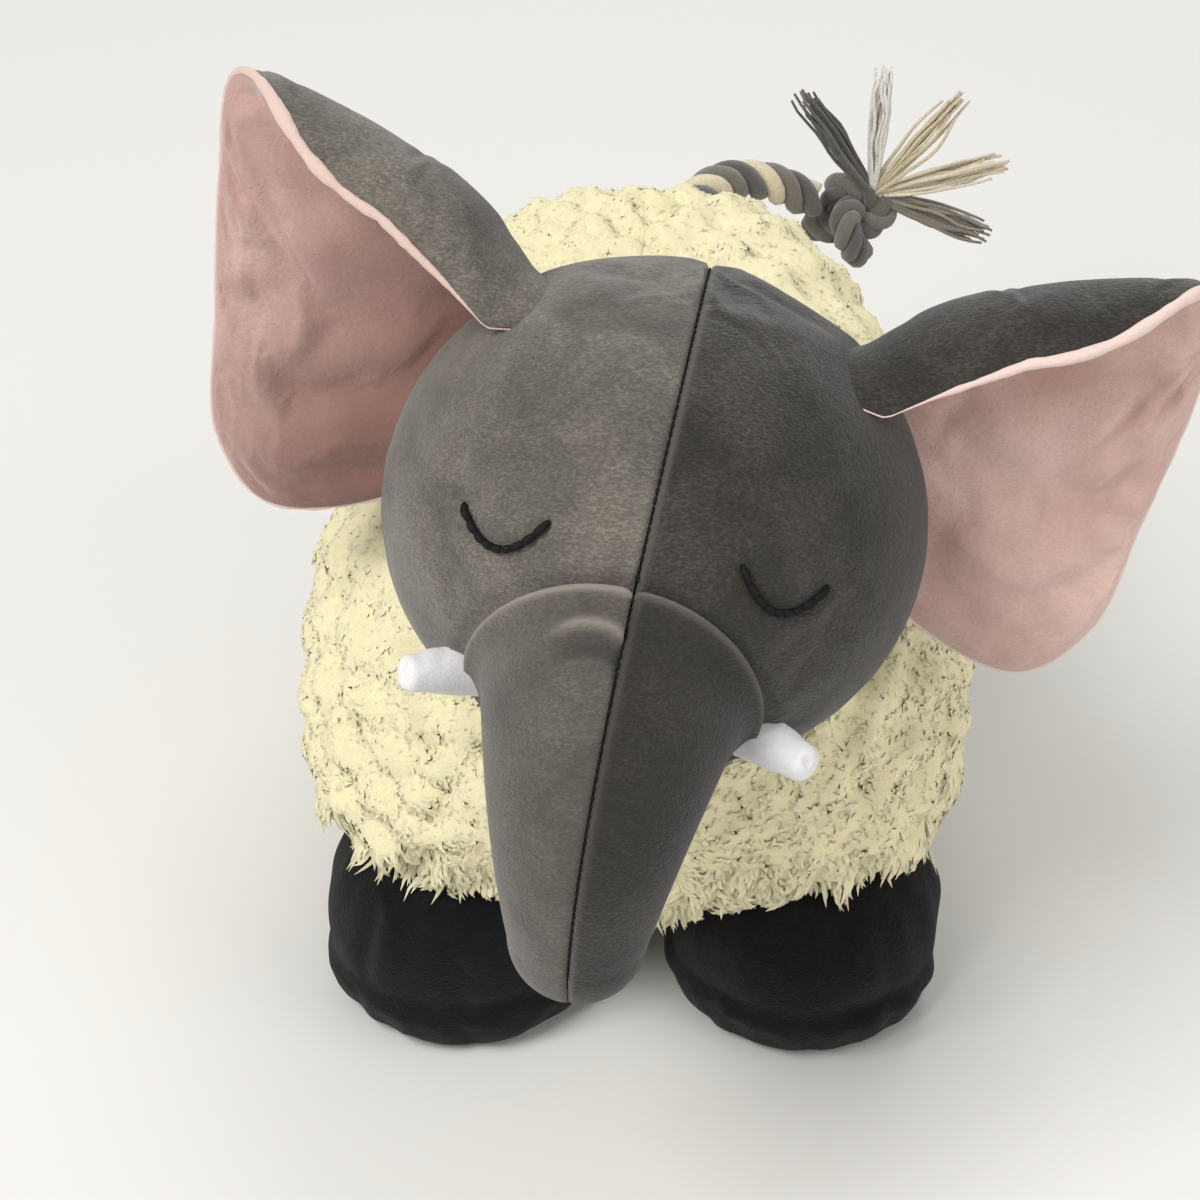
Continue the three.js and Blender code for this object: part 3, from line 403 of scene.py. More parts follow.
WAD_STEPS = 41
pole, side_part, up_part, share = half_ball(WAD_STEPS)
rim = unit(np.stack([side_part, 0 * pole, up_part], axis=-1))
for name, end in (("front", -1), ("rear", 1)):
    outside = body_surface(np.stack([side_part, end * pole, up_part], axis=-1), FLEECE + WAD_GAP)
    outside = body_sockets(outside, WAD_GAP)
    ring = body_sockets(body_surface(rim, FLEECE + WAD_GAP), WAD_GAP)
    face = body_middle + (ring - body_middle) * share[..., None]
    radius, low, high = SQUEAKER_POCKET
    beside = np.clip(radius**2 - (face[..., 0] - body_middle[0]) ** 2, 0, None)
    in_pocket = (face[..., 2] > low) & (face[..., 2] < high) & (share < POCKET_WITHIN)
    pocket = np.where(in_pocket, np.sqrt(beside), 0)
    outside[..., 1] += end * WAD_GAP / 2
    face[..., 1] += end * (WAD_GAP / 2 + pocket)
    sunk = WAD_LUMPS[0] * (1 + lumps(outside, WAD_LUMPS[1], 3)) * (share < 1)
    outside -= unit(outside - body_middle) * sunk[..., None]
    faces = grid_quads(WAD_STEPS, WAD_STEPS, count=2)
    wad = add_piece(f"body_wad_{name}", np.stack([outside, face]), [faces], fibre_fill)
    weld(wad)
    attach(wad, "body")
    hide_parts(f"body_stuffing_{name}")

# Body panels: curly sherpa fleece, two sides sewn together along the back and a belly panel let in between
# the legs. The knitted ground is stuffed tight, and the curls stand on it in clumps and hang over the legs.

FLEECE_GROUND = 2.8  # knitted ground below the tips of the curls
NUB_SIZE = 11  # from one dip past a nub to the next
NUB_HEIGHT = 0.9
NUB_FINE = 0.4  # share of nubs half as large
KNIT = 1.6  # thickness of the ground
BELLY_PANEL = (22, 64)  # half width, level of its top seam at chest and rump
BELLY_HOLD = 5  # how far from the belly panel the side panels are held by its seam
PANEL_STEPS = 121
PANEL_HELD = 0.985  # share of the way to its rim from which a side panel is held by its seam
BODY_SWELL = 4
SOCKET_RIM = 2  # from a hollow's surface to where the free fleece begins
CURL_SPACING = 2.4
CURL_STEPS = 5
CURL_SIDES = 3
CURL_HEIGHT = (-0.2, 0.5)  # a curl's middle above the ground, in which it lies half sunk
FRINGE_HEIGHT = 1.0  # how much more it rises where it hangs
CURL_LEAN = (1.5, 4.0)
CURL_RADIUS = (0.7, 1.1)
CURL_ROOT = 1.5  # how deep in the ground a curl starts
CURL_ROUND = 0.4  # how much of its own roundness a curl shows, against the pile's as a whole
CURL_TURNS = (0.5, 1.1)  # about its own axis
CURL_WIND = (0.4, 1.0)  # how wide it winds at its tip
CURL_HOOK = 1.6  # power by which it leans more towards its tip
CURL_SWELL = (0.8, 0.45)  # thickness at its root and how much more half way, shares of its radius
CURL_TAPER = 0.9
CURL_CLEARS = (2.6, -1, 3)  # from the hip sockets, from the head's socket and from the floor
CURL_BEND = 0.74  # share of half a wave: the curl rises, turns over and comes part of the way down again
TUFT_SPACING = 13  # between the tufts that the curls gather in
TUFT_CROWN = (1.15, 0.4)  # how high the middle of a tuft stands, and how much lower its edge is
TUFT_DROPS = (0.35, 1)  # shares of the fringe's drop
TUFT_GATHER = 0.22
TUFT_SWIRL = 0.3
COLLAR = (14, 3.0, 4.0)  # width of the fuller pile round the head, how much it rises and leans to the head
FRINGE_LEVEL = (92, 58)  # where the curls start to hang, and where they hang most
FRINGE_DROP = 17
FRINGE_CUTS = (0.7, 1)  # shares of the drop for single curls
FRINGE_UNDER = 1.2  # on the underside, from where the normal's z is 1 minus this, curls hang less
FRINGE_COMB = 0.45  # how much less the hanging curls lean to any side
FRINGE_GATHER = 0.4  # how much more the hanging curls draw together
FLEECE_CREAM = "#eee7c2"
# painted shade: the straw colour that the curls deepen to down at the ground
FLEECE_ROOT_SHADE = "#efe1b0"


def stuff(piece, held, cap, pressure=4.0, slack=0.02):
    """Blender's Cloth blows a piece up from inside for 20 frames without gravity. Held points are its
    seams, slack is the share by which the cloth is cut too large, and no point moves further than the cap,
    in millimetres."""
    seam = piece.vertex_groups.new(name="seam")
    seam.add(np.flatnonzero(held).tolist(), 1.0, "REPLACE")
    cloth = piece.modifiers.new("stuffing", "CLOTH")
    cloth.settings.quality = 4
    cloth.settings.mass = 0.12
    cloth.settings.tension_stiffness = 12
    cloth.settings.compression_stiffness = 12
    cloth.settings.bending_stiffness = 0.3
    cloth.settings.use_pressure = True
    cloth.settings.uniform_pressure_force = pressure
    cloth.settings.shrink_min = -slack
    cloth.settings.vertex_group_mass = "seam"
    cloth.settings.effector_weights.gravity = 0
    cloth.collision_settings.use_collision = False
    cloth.point_cache.frame_start, cloth.point_cache.frame_end = 1, 20
    for step in range(1, 21):
        scene.frame_set(step)
    swollen = piece.evaluated_get(bpy.context.evaluated_depsgraph_get()).data
    start, end = (np.empty(3 * len(piece.data.vertices), np.float32) for _ in range(2))
    piece.data.vertices.foreach_get("co", start)
    swollen.vertices.foreach_get("co", end)
    piece.modifiers.remove(cloth)
    piece.vertex_groups.remove(seam)
    moved = (end - start).reshape(-1, 3)
    length = np.maximum(np.linalg.norm(moved, axis=1, keepdims=True), 1e-9)
    moved *= np.minimum(1, cap / 1000 / length)
    piece.data.vertices.foreach_set("co", start + moved.ravel())
    piece.data.update()
    scene.frame_set(1)


def mesh_arrays(piece):
    """A piece's points in millimetres and its points' normals."""
    points, normals = (np.empty(3 * len(piece.data.vertices), np.float32) for _ in range(2))
    piece.data.vertices.foreach_get("co", points)
    piece.data.vertex_normals.foreach_get("vector", normals)
    return 1000 * points.reshape(-1, 3).astype(float), normals.reshape(-1, 3).astype(float)


def set_points(piece, points):
    """Puts points in millimetres back into a piece."""
    piece.data.vertices.foreach_set("co", (points / 1000).astype(np.float32).ravel())
    piece.data.update()


def settle(piece):
    """Makes what a piece's modifiers show its own mesh."""
    shown = bpy.data.meshes.new_from_object(piece.evaluated_get(bpy.context.evaluated_depsgraph_get()))
    piece.modifiers.clear()
    piece.data = shown


def thicken(piece, thickness, levels=0):
    """Gives a panel its cloth's thickness inwards and rounds it off."""
    wall = piece.modifiers.new("cloth", "SOLIDIFY")
    wall.thickness = thickness / 1000
    wall.offset = -1
    if levels:
        smooth = piece.modifiers.new("smooth", "SUBSURF")
        smooth.levels = smooth.render_levels = levels


def paint(piece, name, values):
    """Keeps a number for each point, for the material to read."""
    attribute = piece.data.attributes.new(name, "FLOAT", "POINT")
    attribute.data.foreach_set("value", np.ascontiguousarray(values, np.float32).ravel())


def tubes(paths, radii, sides, across):
    """Round sections carried along many paths at once: a ring of points about each point of a path, square
    to it and turning right-handed about the way ahead, so that faces look out, and a flat end at both ends.
    Across fixes where each ring starts. Returns the points and the faces."""
    count, steps = radii.shape
    ahead = unit(np.gradient(paths, axis=1))
    first = unit(across - np.sum(across * ahead, axis=-1, keepdims=True) * ahead)
    second = np.cross(ahead, first)
    turn = 2 * math.pi * np.arange(sides) / sides
    spokes = np.cos(turn)[:, None] * first[:, :, None] + np.sin(turn)[:, None] * second[:, :, None]
    points = (paths[:, :, None] + radii[:, :, None, None] * spokes).reshape(-1, 3)
    start = np.arange(count)[:, None] * steps * sides
    ends = np.concatenate([start + np.arange(sides)[::-1], start + (steps - 1) * sides + np.arange(sides)])
    quads = grid_quads(steps, sides, around=True, count=count)
    return points, [quads, ends]


def scatter(rng, points, normals, quads, spacing):
    """Places over quads, about one to each square of the spacing: quads are drawn in turn as their areas
    add up, and each place lies at random inside its quad. Returns the places and their normals."""
    corners = points[quads]
    diagonals = corners[:, 2] - corners[:, 0], corners[:, 3] - corners[:, 1]
    area = 0.5 * np.linalg.norm(np.cross(*diagonals), axis=1)
    wanted = np.arange(int(area.sum() / spacing**2))
    wanted = (wanted + rng.random(len(wanted))) * spacing**2
    drawn = quads[np.minimum(np.searchsorted(np.cumsum(area), wanted), len(quads) - 1)]
    u, v = rng.random((2, len(drawn), 1))
    shares = np.concatenate([(1 - u) * (1 - v), u * (1 - v), u * v, (1 - u) * v], axis=1)[..., None]
    return (points[drawn] * shares).sum(1), unit((normals[drawn] * shares).sum(1))


def beside_legs(points, clear):
    """Moves points out of the legs: a leg is a ball at its hip drawn down to the floor."""
    for hip in hips.values():
        core = np.broadcast_to(hip, points.shape).copy()
        core[..., 2] = np.clip(points[..., 2], 0, hip[2])
        gap = np.linalg.norm(points - core, axis=-1, keepdims=True)
        points = np.where(gap < clear, core + unit(points - core) * clear, points)
    return points


def near_sockets(points):
    """Points that lie on a hollow for the head or a hip."""
    near = np.linalg.norm(points - head_centre, axis=-1) < HEAD_SOCKET + SOCKET_RIM
    for hip in hips.values():
        near |= np.linalg.norm(points - hip, axis=-1) < HIP_SOCKET + SOCKET_RIM
    return near


def fleece_curls(name, rng, places, normals, material):
    """Curls of fleece: each is a short thick thread that rises and turns over by part of half a sine wave.
    It leans to any side, to the middle of its tuft and a little down, winds round its own axis, stands
    fuller in a collar round the head and hangs where the body turns under."""
    away = ~near_sockets(places)
    places, normals = places[away], normals[away]
    count = len(places)
    tufts = places[rng.choice(count, int(count * (CURL_SPACING / TUFT_SPACING) ** 2), replace=False)]
    tuft_drop = rng.uniform(*TUFT_DROPS, (len(tufts), 1))
    gaps = (places**2).sum(1)[:, None] - 2 * places @ tufts.T + (tufts**2).sum(1)
    tuft = np.argmin(gaps, axis=1)
    gather = tufts[tuft] - places
    share = np.clip(np.linalg.norm(gather, axis=1, keepdims=True) / TUFT_SPACING, 0, 1)
    gather = gather + TUFT_SWIRL * np.cross(normals, gather)
    height = rng.uniform(*CURL_HEIGHT, (count, 1)) * (TUFT_CROWN[0] - TUFT_CROWN[1] * share)
    collar_width, collar_rise, collar_lean = COLLAR
    to_head = head_centre - places
    collar = np.clip(1 - (np.linalg.norm(to_head, axis=1, keepdims=True) - HEAD_SOCKET) / collar_width, 0, 1)
    begin, most = FRINGE_LEVEL
    hang = np.clip((begin - places[:, 2:]) / (begin - most), 0, 1)
    hang = hang * hang * (3 - 2 * hang) * np.clip(FRINGE_UNDER + normals[:, 2:], 0, 1)
    height = height + collar_rise * collar + FRINGE_HEIGHT * hang
    fall = 1.0 + FRINGE_DROP * hang * tuft_drop[tuft] * rng.uniform(*FRINGE_CUTS, (count, 1))
    first = unit(np.cross(normals, rng.normal(size=(count, 3))))
    second = np.cross(normals, first)
    lean = first * rng.uniform(*CURL_LEAN, (count, 1)) * (1 - FRINGE_COMB * hang) - fall * [0, 0, 1.0]
    lean = lean + (TUFT_GATHER + FRINGE_GATHER * hang) * gather + collar_lean * collar * unit(to_head)
    along = np.linspace(0, 1, CURL_STEPS)[None, :, None]
    bend = np.sin(math.pi * CURL_BEND * along)
    turn = 2 * math.pi * along * rng.uniform(*CURL_TURNS, (count, 1, 1))
    wind = rng.uniform(*CURL_WIND, (count, 1, 1)) * along
    paths = (places - CURL_ROOT * normals)[:, None] + normals[:, None] * (height + CURL_ROOT)[:, None] * bend
    paths = paths + lean[:, None] * along**CURL_HOOK
    paths = paths + wind * (np.cos(turn) * first[:, None] + np.sin(turn) * second[:, None])
    beside_hip, beside_head, above_floor = CURL_CLEARS
    paths = beside_legs(paths, HIP_SOCKET + beside_hip)
    least = HEAD_SOCKET + beside_head
    reach = np.linalg.norm(paths - head_centre, axis=-1, keepdims=True)
    paths = np.where(reach < least, head_centre + (paths - head_centre) * least / reach, paths)
    paths[..., 2] = np.maximum(paths[..., 2], above_floor)
    swell = CURL_SWELL[0] + CURL_SWELL[1] * np.sin(math.pi * along[..., 0])
    radii = rng.uniform(*CURL_RADIUS, (count, 1)) * swell * (1 - CURL_TAPER * along[..., 0] ** 3)
    points, faces = tubes(paths, radii, CURL_SIDES, first[:, None])
    curls = add_piece(name, points, faces, material)
    # How far up its curl each point lies, for the painted shade that deepens towards the ground.
    paint(curls, "tip", np.broadcast_to(bend, (count, CURL_STEPS, CURL_SIDES)))
    paint(curls, "tone", np.broadcast_to(rng.random((count, 1, 1)), (count, CURL_STEPS, CURL_SIDES)))
    # Loose fibres bridge the curls and shade as one soft pile, so the curls' normals lean to the ground's.
    own = mesh_arrays(curls)[1].reshape(count, -1, 3)
    soft = unit(normals[:, None] + CURL_ROUND * own).reshape(-1, 3)
    curls.data.normals_split_custom_set_from_vertices(soft)
    return curls


def join(piece, other):
    """Makes two objects one."""
    both = [piece, other]
    with bpy.context.temp_override(active_object=piece, object=piece, selected_objects=both,
                                   selected_editable_objects=both):
        bpy.ops.object.join()


# Polyester sherpa: matt cream curls with a soft bloom at their edges, and painted shade that runs from palest
# where they turn over to a deeper straw colour down at the ground. Fibres are 0.02 mm, drawn as streaks of
# 0.8 mm.
sherpa, tree, shader = start_material("polyester_sherpa_fleece", Roughness=1.0, Specular_IOR_Level=0.1,
                                      Sheen_Weight=0.35, Sheen_Roughness=0.6, Sheen_Tint=colour(FLEECE_CREAM))
place = add_node(tree, "ShaderNodeTexCoord").outputs["Object"]
tip = add_node(tree, "ShaderNodeAttribute", attribute_name="tip").outputs["Fac"]
tone = add_node(tree, "ShaderNodeAttribute", attribute_name="tone").outputs["Fac"]
fibres = add_node(tree, "ShaderNodeTexNoise", {"Vector": place, "Scale": cells(0.8), "Detail": 4.0,
                                               "Distortion": 0.8})
# Painted shade: straw at the ground, cream where the curls turn over.
rise = add_node(tree, "ShaderNodeMapRange", {"Value": tip, "From Min": 0.0, "From Max": 0.75})
body = add_node(tree, "ShaderNodeMixRGB", {"Fac": rise.outputs["Result"], "Color1": colour(FLEECE_ROOT_SHADE),
                                           "Color2": colour(FLEECE_CREAM)})
vary = add_node(tree, "ShaderNodeMapRange", {"Value": tone, "To Min": 0.0, "To Max": 0.3})
curl = add_node(tree, "ShaderNodeMixRGB", {"Fac": vary.outputs["Result"], "Color1": body.outputs["Color"],
                                           "Color2": colour("#e8deb7")})
streak = add_node(tree, "ShaderNodeMapRange", {"Value": fibres.outputs["Fac"], "From Min": 0.35,
                                               "From Max": 0.7, "To Min": 0.92, "To Max": 1.03})
fuzz = add_node(tree, "ShaderNodeMixRGB", {"Fac": 1.0, "Color1": curl.outputs["Color"],
                                           "Color2": streak.outputs["Result"]}, blend_type="MULTIPLY")
rough = add_node(tree, "ShaderNodeBump", {"Height": fibres.outputs["Fac"], "Strength": 0.3,
                                          "Distance": 0.0006})
finish_material(tree, shader, fuzz, rough)


def fleece_panel(name, node, points, quads, held, seed):
    """One panel: its ground is stuffed, nubs of matted curls rise from it, it gets its thickness, and then
    its loose curls are joined to it."""
    points = points.reshape(-1, 3)
    used = np.unique(quads)
    panel = add_piece(name, points, [face_out(points, quads, body_middle)], sherpa)
    stuff(panel, held[used], BODY_SWELL)
    ground, normals = mesh_arrays(panel)
    nubs = lumps(ground, NUB_SIZE, 7) + NUB_FINE * lumps(ground, NUB_SIZE / 2, 8)
    ground += normals * (NUB_HEIGHT * ~near_sockets(ground) * nubs)[:, None]
    set_points(panel, ground)
    ground, normals = mesh_arrays(panel)
    quads = np.empty(len(panel.data.loops), np.int32)
    panel.data.loops.foreach_get("vertex_index", quads)
    quads = quads.reshape(-1, 4)
    thicken(panel, KNIT)
    settle(panel)
    # The ground takes half of the painted shade.
    paint(panel, "tip", np.full(len(panel.data.vertices), 0.5))
    paint(panel, "tone", np.full(len(panel.data.vertices), 0.5))
    rng = np.random.default_rng(seed)
    places, outwards = scatter(rng, ground, normals, quads, CURL_SPACING)
    join(panel, fleece_curls(f"{name}_curls", rng, places, outwards, sherpa))
    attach(panel, "body")
    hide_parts(node)


pole, back_part, up_part, share = half_ball(PANEL_STEPS, crowd=1.15)
half_width, top_seam = BELLY_PANEL
for name, side, seed in (("left", 1, 11), ("right", -1, 23)):
    direction = np.stack([side * pole, back_part, up_part], axis=-1)
    points = body_sockets(body_surface(direction, FLEECE_GROUND + clump_dip(direction)), 0)
    quads = grid_quads(PANEL_STEPS, PANEL_STEPS)
    middles = points.reshape(-1, 3)[quads].mean(1) - [body_middle[0], 0, 0]
    quads = quads[(np.abs(middles[:, 0]) > half_width) | (middles[:, 2] > top_seam)]
    beside_belly = np.abs(points[..., 0] - body_middle[0]) < half_width + BELLY_HOLD
    beside_belly &= points[..., 2] < top_seam + BELLY_HOLD
    held = (share > PANEL_HELD) | near_sockets(points) | beside_belly
    fleece_panel(f"body_fleece_{name}", f"body_cover_{name}", points, quads, held.ravel(), seed)

# The belly panel runs under the body from the chest seam to the rump seam.
BELLY_GRID = (121, 21)
lift = (1 - 2 * (top_seam - BELLY_HEIGHT) / BODY_HEIGHTS[0]) ** (BODY_END_POWER / 2)
swing = np.linspace(math.asin(lift), math.pi - math.asin(lift), BELLY_GRID[0])[:, None]
run = (np.abs(np.cos(swing)) ** BODY_END_POWER + np.sin(swing) ** BODY_END_POWER) ** (1 / BODY_END_POWER)
along, end = -np.cos(swing) / run, np.sin(swing) / run
width = np.interp(along, (-1, 1), BODY_WIDTHS)
across = np.linspace(-half_width, half_width, BELLY_GRID[1]) / (width / 2 * end * (1 + BODY_SAG))
across = np.clip(across, -0.9, 0.9)
up = -((1 - np.abs(across) ** BODY_SECTION_POWER) ** (1 / BODY_SECTION_POWER))
direction = unit(np.stack([across * end, along + 0 * across, up * end], axis=-1))
points = body_sockets(body_surface(direction, FLEECE_GROUND + clump_dip(direction)), 0)
held = near_sockets(points)
held[:, [0, -1]] = held[[0, -1]] = True
fleece_panel("belly_fleece", "belly_panel", points, grid_quads(*BELLY_GRID), held.ravel(), 31)

# Legs: stub sleeves of black short-pile plush, gathered into the body at the hip and closed below by a
# round sole that is sewn in and stands flat on the floor.

HIP_HEIGHT = 30
LEG_RADIUS = 42
LEG_TOP = 22  # degrees from straight up to the gathered end, inside the body
LEG_WAIST = 102  # degrees from straight up to where the ball of the hip meets the foot
FOOT_RADIUS = 43.5
FOOT_ROUNDING = 14
SOLE_RADIUS = 31
SOLE_THICKNESS = 2.5
PLUSH = 2.4
LEG_GRID = (38, 92)
SOLE_GRID = (90, 72)
LEG_ARC_STEPS = (30, 14)  # hip and foot
LEG_HELD = (2, 3)  # rows held at the hip and at the sole
LEG_GATHERS = (0.018, 13)  # depth as a share of the radius, and size
GATHER_LONG = 0.35  # the gathers' width as a share of their length
LEG_WAD_SIDES = 48
LEG_SWELL = 2.5
PLUSH_BLACK = ("#0a090a", "#100f10", "#1e1d1e")  # brushed down, upright, tips that catch the light
RUFFLE = 3.5  # size of the soft wrinkles in short-pile plush


def short_pile(name, deep, pile, light, nap, sheen, flecks=0.85, tuft=0.6, painted_shade=None):
    """Knitted short-pile plush: 2 mm of upright fibre on a knitted back. Brushed patches lie lighter or
    darker, tips catch the light as short flecks, the cloth ruffles, and a soft sheen shows at grazing angles.
    Where the attribute rim is 1 the colour goes to the light tips, a painted highlight along sewn edges and
    folds where fibres also stand on end, and where shade is 1 it goes to a darker colour as painted shade.
    Fibres are 0.03 mm, drawn as tufts, and the tufts a little too wide."""
    made, tree, shader = start_material(name, Roughness=0.95, Specular_IOR_Level=0.2, Sheen_Weight=sheen,
                                        Sheen_Roughness=0.45)
    place = add_node(tree, "ShaderNodeTexCoord").outputs["Object"]
    brushed = add_node(tree, "ShaderNodeTexNoise", {"Vector": place, "Scale": cells(nap), "Detail": 3.0,
                                                    "Roughness": 0.55, "Distortion": 0.6})
    lean = add_node(tree, "ShaderNodeMapping", {"Vector": place, "Rotation": (0.5, 0.4, 0.3),
                                                "Scale": (0.45, 1, 1)})
    tufts = add_node(tree, "ShaderNodeTexNoise", {"Vector": lean.outputs["Vector"], "Scale": cells(tuft),
                                                  "Detail": 3.0, "Roughness": 0.6, "Distortion": 0.5})
    patch = add_node(tree, "ShaderNodeMapRange", {"Value": brushed.outputs["Fac"], "From Min": 0.3,
                                                  "From Max": 0.7})
    ground = add_node(tree, "ShaderNodeMixRGB", {"Fac": patch.outputs["Result"], "Color1": colour(deep),
                                                 "Color2": colour(pile)})
    ruffled = add_node(tree, "ShaderNodeMapRange", {"Value": brushed.outputs["Fac"], "From Min": 0.35,
                                                    "From Max": 0.65, "To Min": 0.3 * flecks,
                                                    "To Max": flecks})
    fleck = add_node(tree, "ShaderNodeMapRange", {"Value": tufts.outputs["Fac"], "From Min": 0.42,
                                                  "From Max": 0.74, "To Max": ruffled.outputs["Result"]})
    tips = add_node(tree, "ShaderNodeMixRGB", {"Fac": fleck.outputs["Result"], "Color2": colour(light),
                                               "Color1": ground.outputs["Color"]})
    # Painted highlight where the attribute rim is 1.
    rim = add_node(tree, "ShaderNodeAttribute", attribute_name="rim").outputs["Fac"]
    edge = add_node(tree, "ShaderNodeMixRGB", {"Fac": rim, "Color1": tips.outputs["Color"],
                                               "Color2": colour(light)})
    # Painted shade where the attribute shade is 1.
    shade = add_node(tree, "ShaderNodeAttribute", attribute_name="shade").outputs["Fac"]
    fold = add_node(tree, "ShaderNodeMixRGB", {"Fac": shade, "Color1": edge.outputs["Color"],
                                               "Color2": colour(painted_shade or deep)})
    ruffle = add_node(tree, "ShaderNodeTexNoise", {"Vector": place, "Scale": cells(RUFFLE), "Detail": 3.0,
                                                   "Distortion": 1.5})
    waves = add_node(tree, "ShaderNodeBump", {"Height": ruffle.outputs["Fac"], "Strength": 0.3,
                                              "Distance": 0.0012})
    rough = add_node(tree, "ShaderNodeBump", {"Height": tufts.outputs["Fac"], "Strength": flecks,
                                              "Distance": 0.0006, "Normal": waves.outputs["Normal"]})
    finish_material(tree, shader, fold, rough)
    return made


black_plush = short_pile("black_velboa_plush", *PLUSH_BLACK, nap=16, sheen=0.08)


def arc(middle, radii, start, end, steps):
    """Points of radius and height on an oval about a middle, between two angles in degrees from its top."""
    angle = np.radians(np.linspace(start, end, steps))
    return np.stack([middle[0] + radii[0] * np.sin(angle), middle[1] + radii[1] * np.cos(angle)], axis=-1)


def run_along(line):
    """The length along a line up to each of its points."""
    return np.concatenate([[0], np.cumsum(np.linalg.norm(np.diff(line, axis=0), axis=1))])


def along_profile(profile, steps):
    """A profile's points spread evenly over its length."""
    run = run_along(profile)
    at = np.linspace(0, run[-1], steps)
    return np.stack([np.interp(at, run, profile[:, k]) for k in range(2)], axis=-1)


def revolved(profile, columns):
    """A profile of radius and height carried round the upright axis."""
    turn = 2 * math.pi * np.arange(columns) / columns
    radius, height = profile[:, :1], profile[:, 1:]
    return np.stack([radius * np.cos(turn), radius * np.sin(turn), height + 0 * turn], axis=-1)


ankle = (SOLE_RADIUS + SEAT, FOOT_ROUNDING + 2 * SEAT - HIP_HEIGHT)


def sleeve(inset, steps, top):
    """Half a section of the leg: the ball of the hip, then the foot turned in to the sole."""
    foot = (FOOT_RADIUS - ankle[0] - inset, FOOT_ROUNDING - inset)
    hip_arc = arc((0, 0), (LEG_RADIUS - inset,) * 2, top, LEG_WAIST, LEG_ARC_STEPS[0])
    foot_arc = arc(ankle, foot, 90, 180, LEG_ARC_STEPS[1])
    return along_profile(np.concatenate([hip_arc, foot_arc]), steps)


for number, (leg, hip) in enumerate(hips.items()):
    rows, columns = LEG_GRID
    points = revolved(sleeve(0, rows, LEG_TOP), columns)
    # Gathers run down from the hip, deepest half way.
    drop = np.linspace(0, 1, rows)[:, None]
    depth, size = LEG_GATHERS
    folds = lumps(points * [1, 1, GATHER_LONG] + number * 90, size, 40 + number)
    points[..., :2] *= (1 + (depth * np.sin(math.pi * drop) * folds))[..., None]
    points = (points + hip).reshape(-1, 3)
    quads = face_out(points, grid_quads(rows, columns, around=True), hip)
    cover = add_piece(f"leg_plush_{leg}", points, [quads], black_plush)
    held = np.zeros((rows, columns), bool)
    held[: LEG_HELD[0]] = held[-LEG_HELD[1] :] = True
    stuff(cover, held.ravel(), LEG_SWELL, pressure=3.0, slack=0.03)
    thicken(cover, PLUSH, levels=1)

    # The sole is a stitched disc: flat below, rounded at its edge.
    edge = SOLE_THICKNESS / 2
    rim = arc((SOLE_RADIUS - edge, edge), (edge, edge), 0, 180, 9)
    disc = np.concatenate([[(1e-6, SOLE_THICKNESS)], rim, [(1e-6, 0)]])
    points = revolved(along_profile(disc, SOLE_GRID[0]), SOLE_GRID[1]) + hip - [0, 0, HIP_HEIGHT]
    sole = add_piece(f"leg_pad_{leg}", points, [grid_quads(*SOLE_GRID, around=True)], black_plush)
    weld(sole)

    wad_profile = sleeve(PLUSH + WAD_GAP, 30, 1)
    wad_profile = np.concatenate([[(1e-6, LEG_RADIUS - PLUSH - WAD_GAP)], wad_profile])
    seat = SOLE_THICKNESS + WAD_GAP - HIP_HEIGHT
    wad_profile[:, 1] = np.maximum(wad_profile[:, 1], seat)
    wad_profile = np.concatenate([wad_profile, [(SOLE_RADIUS - 2, seat), (1e-6, seat)]])
    points = revolved(wad_profile, LEG_WAD_SIDES) + hip
    quads = grid_quads(len(wad_profile), LEG_WAD_SIDES, around=True)
    wad = add_piece(f"leg_wad_{leg}", points, [quads], fibre_fill)
    weld(wad)

    # The gathered top stays in the body while the foot swings.
    for piece, node, slot in ((cover, "leg_cover", "black_plush"), (wad, "leg_stuffing", "fibre_fill")):
        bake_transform(piece)
        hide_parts(f"{node}_{leg}")
    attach(sole, f"leg_{leg}")
    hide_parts(f"leg_sole_{leg}")

# Tail: a stiff three-strand cotton rope sewn into the rump seam. It ends in a knot, past which its strands
# are combed out into a tassel of grey, white and cream yarn.

TAIL_ROOT = (14, BODY_LENGTH / 2)  # from the body's middle, to the side and back
TAIL_LEVEL = 149
TAIL_ROUTE = [(0, -30, 0), (0, 0, 0), (4, 22, 1), (16, 42, 0), (34, 55, -7), (50, 62, -18)]
TAIL_START = 0.13  # share of the route that lies inside the rump
TAIL_STEPS = 90
ROPE_RADIUS = 7.5
ROPE_LAY = 30  # length of one turn of the strands
KNOT_RADIUS = 19
KNOT_ROPE = 6.0
KNOT_STEPS = 150
KNOT_DEPTH = 1.9  # along the rope, when its turns reach out to 3
STRAND_PLUMP = 1.06  # strands press into each other
TASSEL_LENGTH = 48
TASSEL_MIDDLE = 52  # degrees that the middle bunch rises
TASSEL_SPREAD = 145
TASSEL_ROOT = 5  # how deep in the knot the yarns start
BUNCH_SWELL = (0.04, 0.62)  # part of half a wave over which a bunch swells and draws in
BUNCH_SPREAD = (2.6, 2.8)  # of a bunch's yarns in the fan and across it
YARNS = 26  # in each bunch
YARN_STEPS = 11
YARN_SIDES = 5
YARN_TAPER = (1.15, 0.5)  # thickness at the knot and how much is lost to the tip, shares of its radius
YARN_TONE_STRAY = 0.06
YARN_CUTS = (0.78, 1.0)  # shares of the tassel's length
YARN_WAVES = (1.2, 2.4)  # along a yarn
YARN_STRAY = (0.5, 1.6)  # how far its end waves
YARN_RADIUS = 0.85
BUNCH_TONES = (0.12, 0.62, 0.5, 1.0, 0.0)  # 0 grey, 0.5 cream, 1 white, from the lowest bunch round
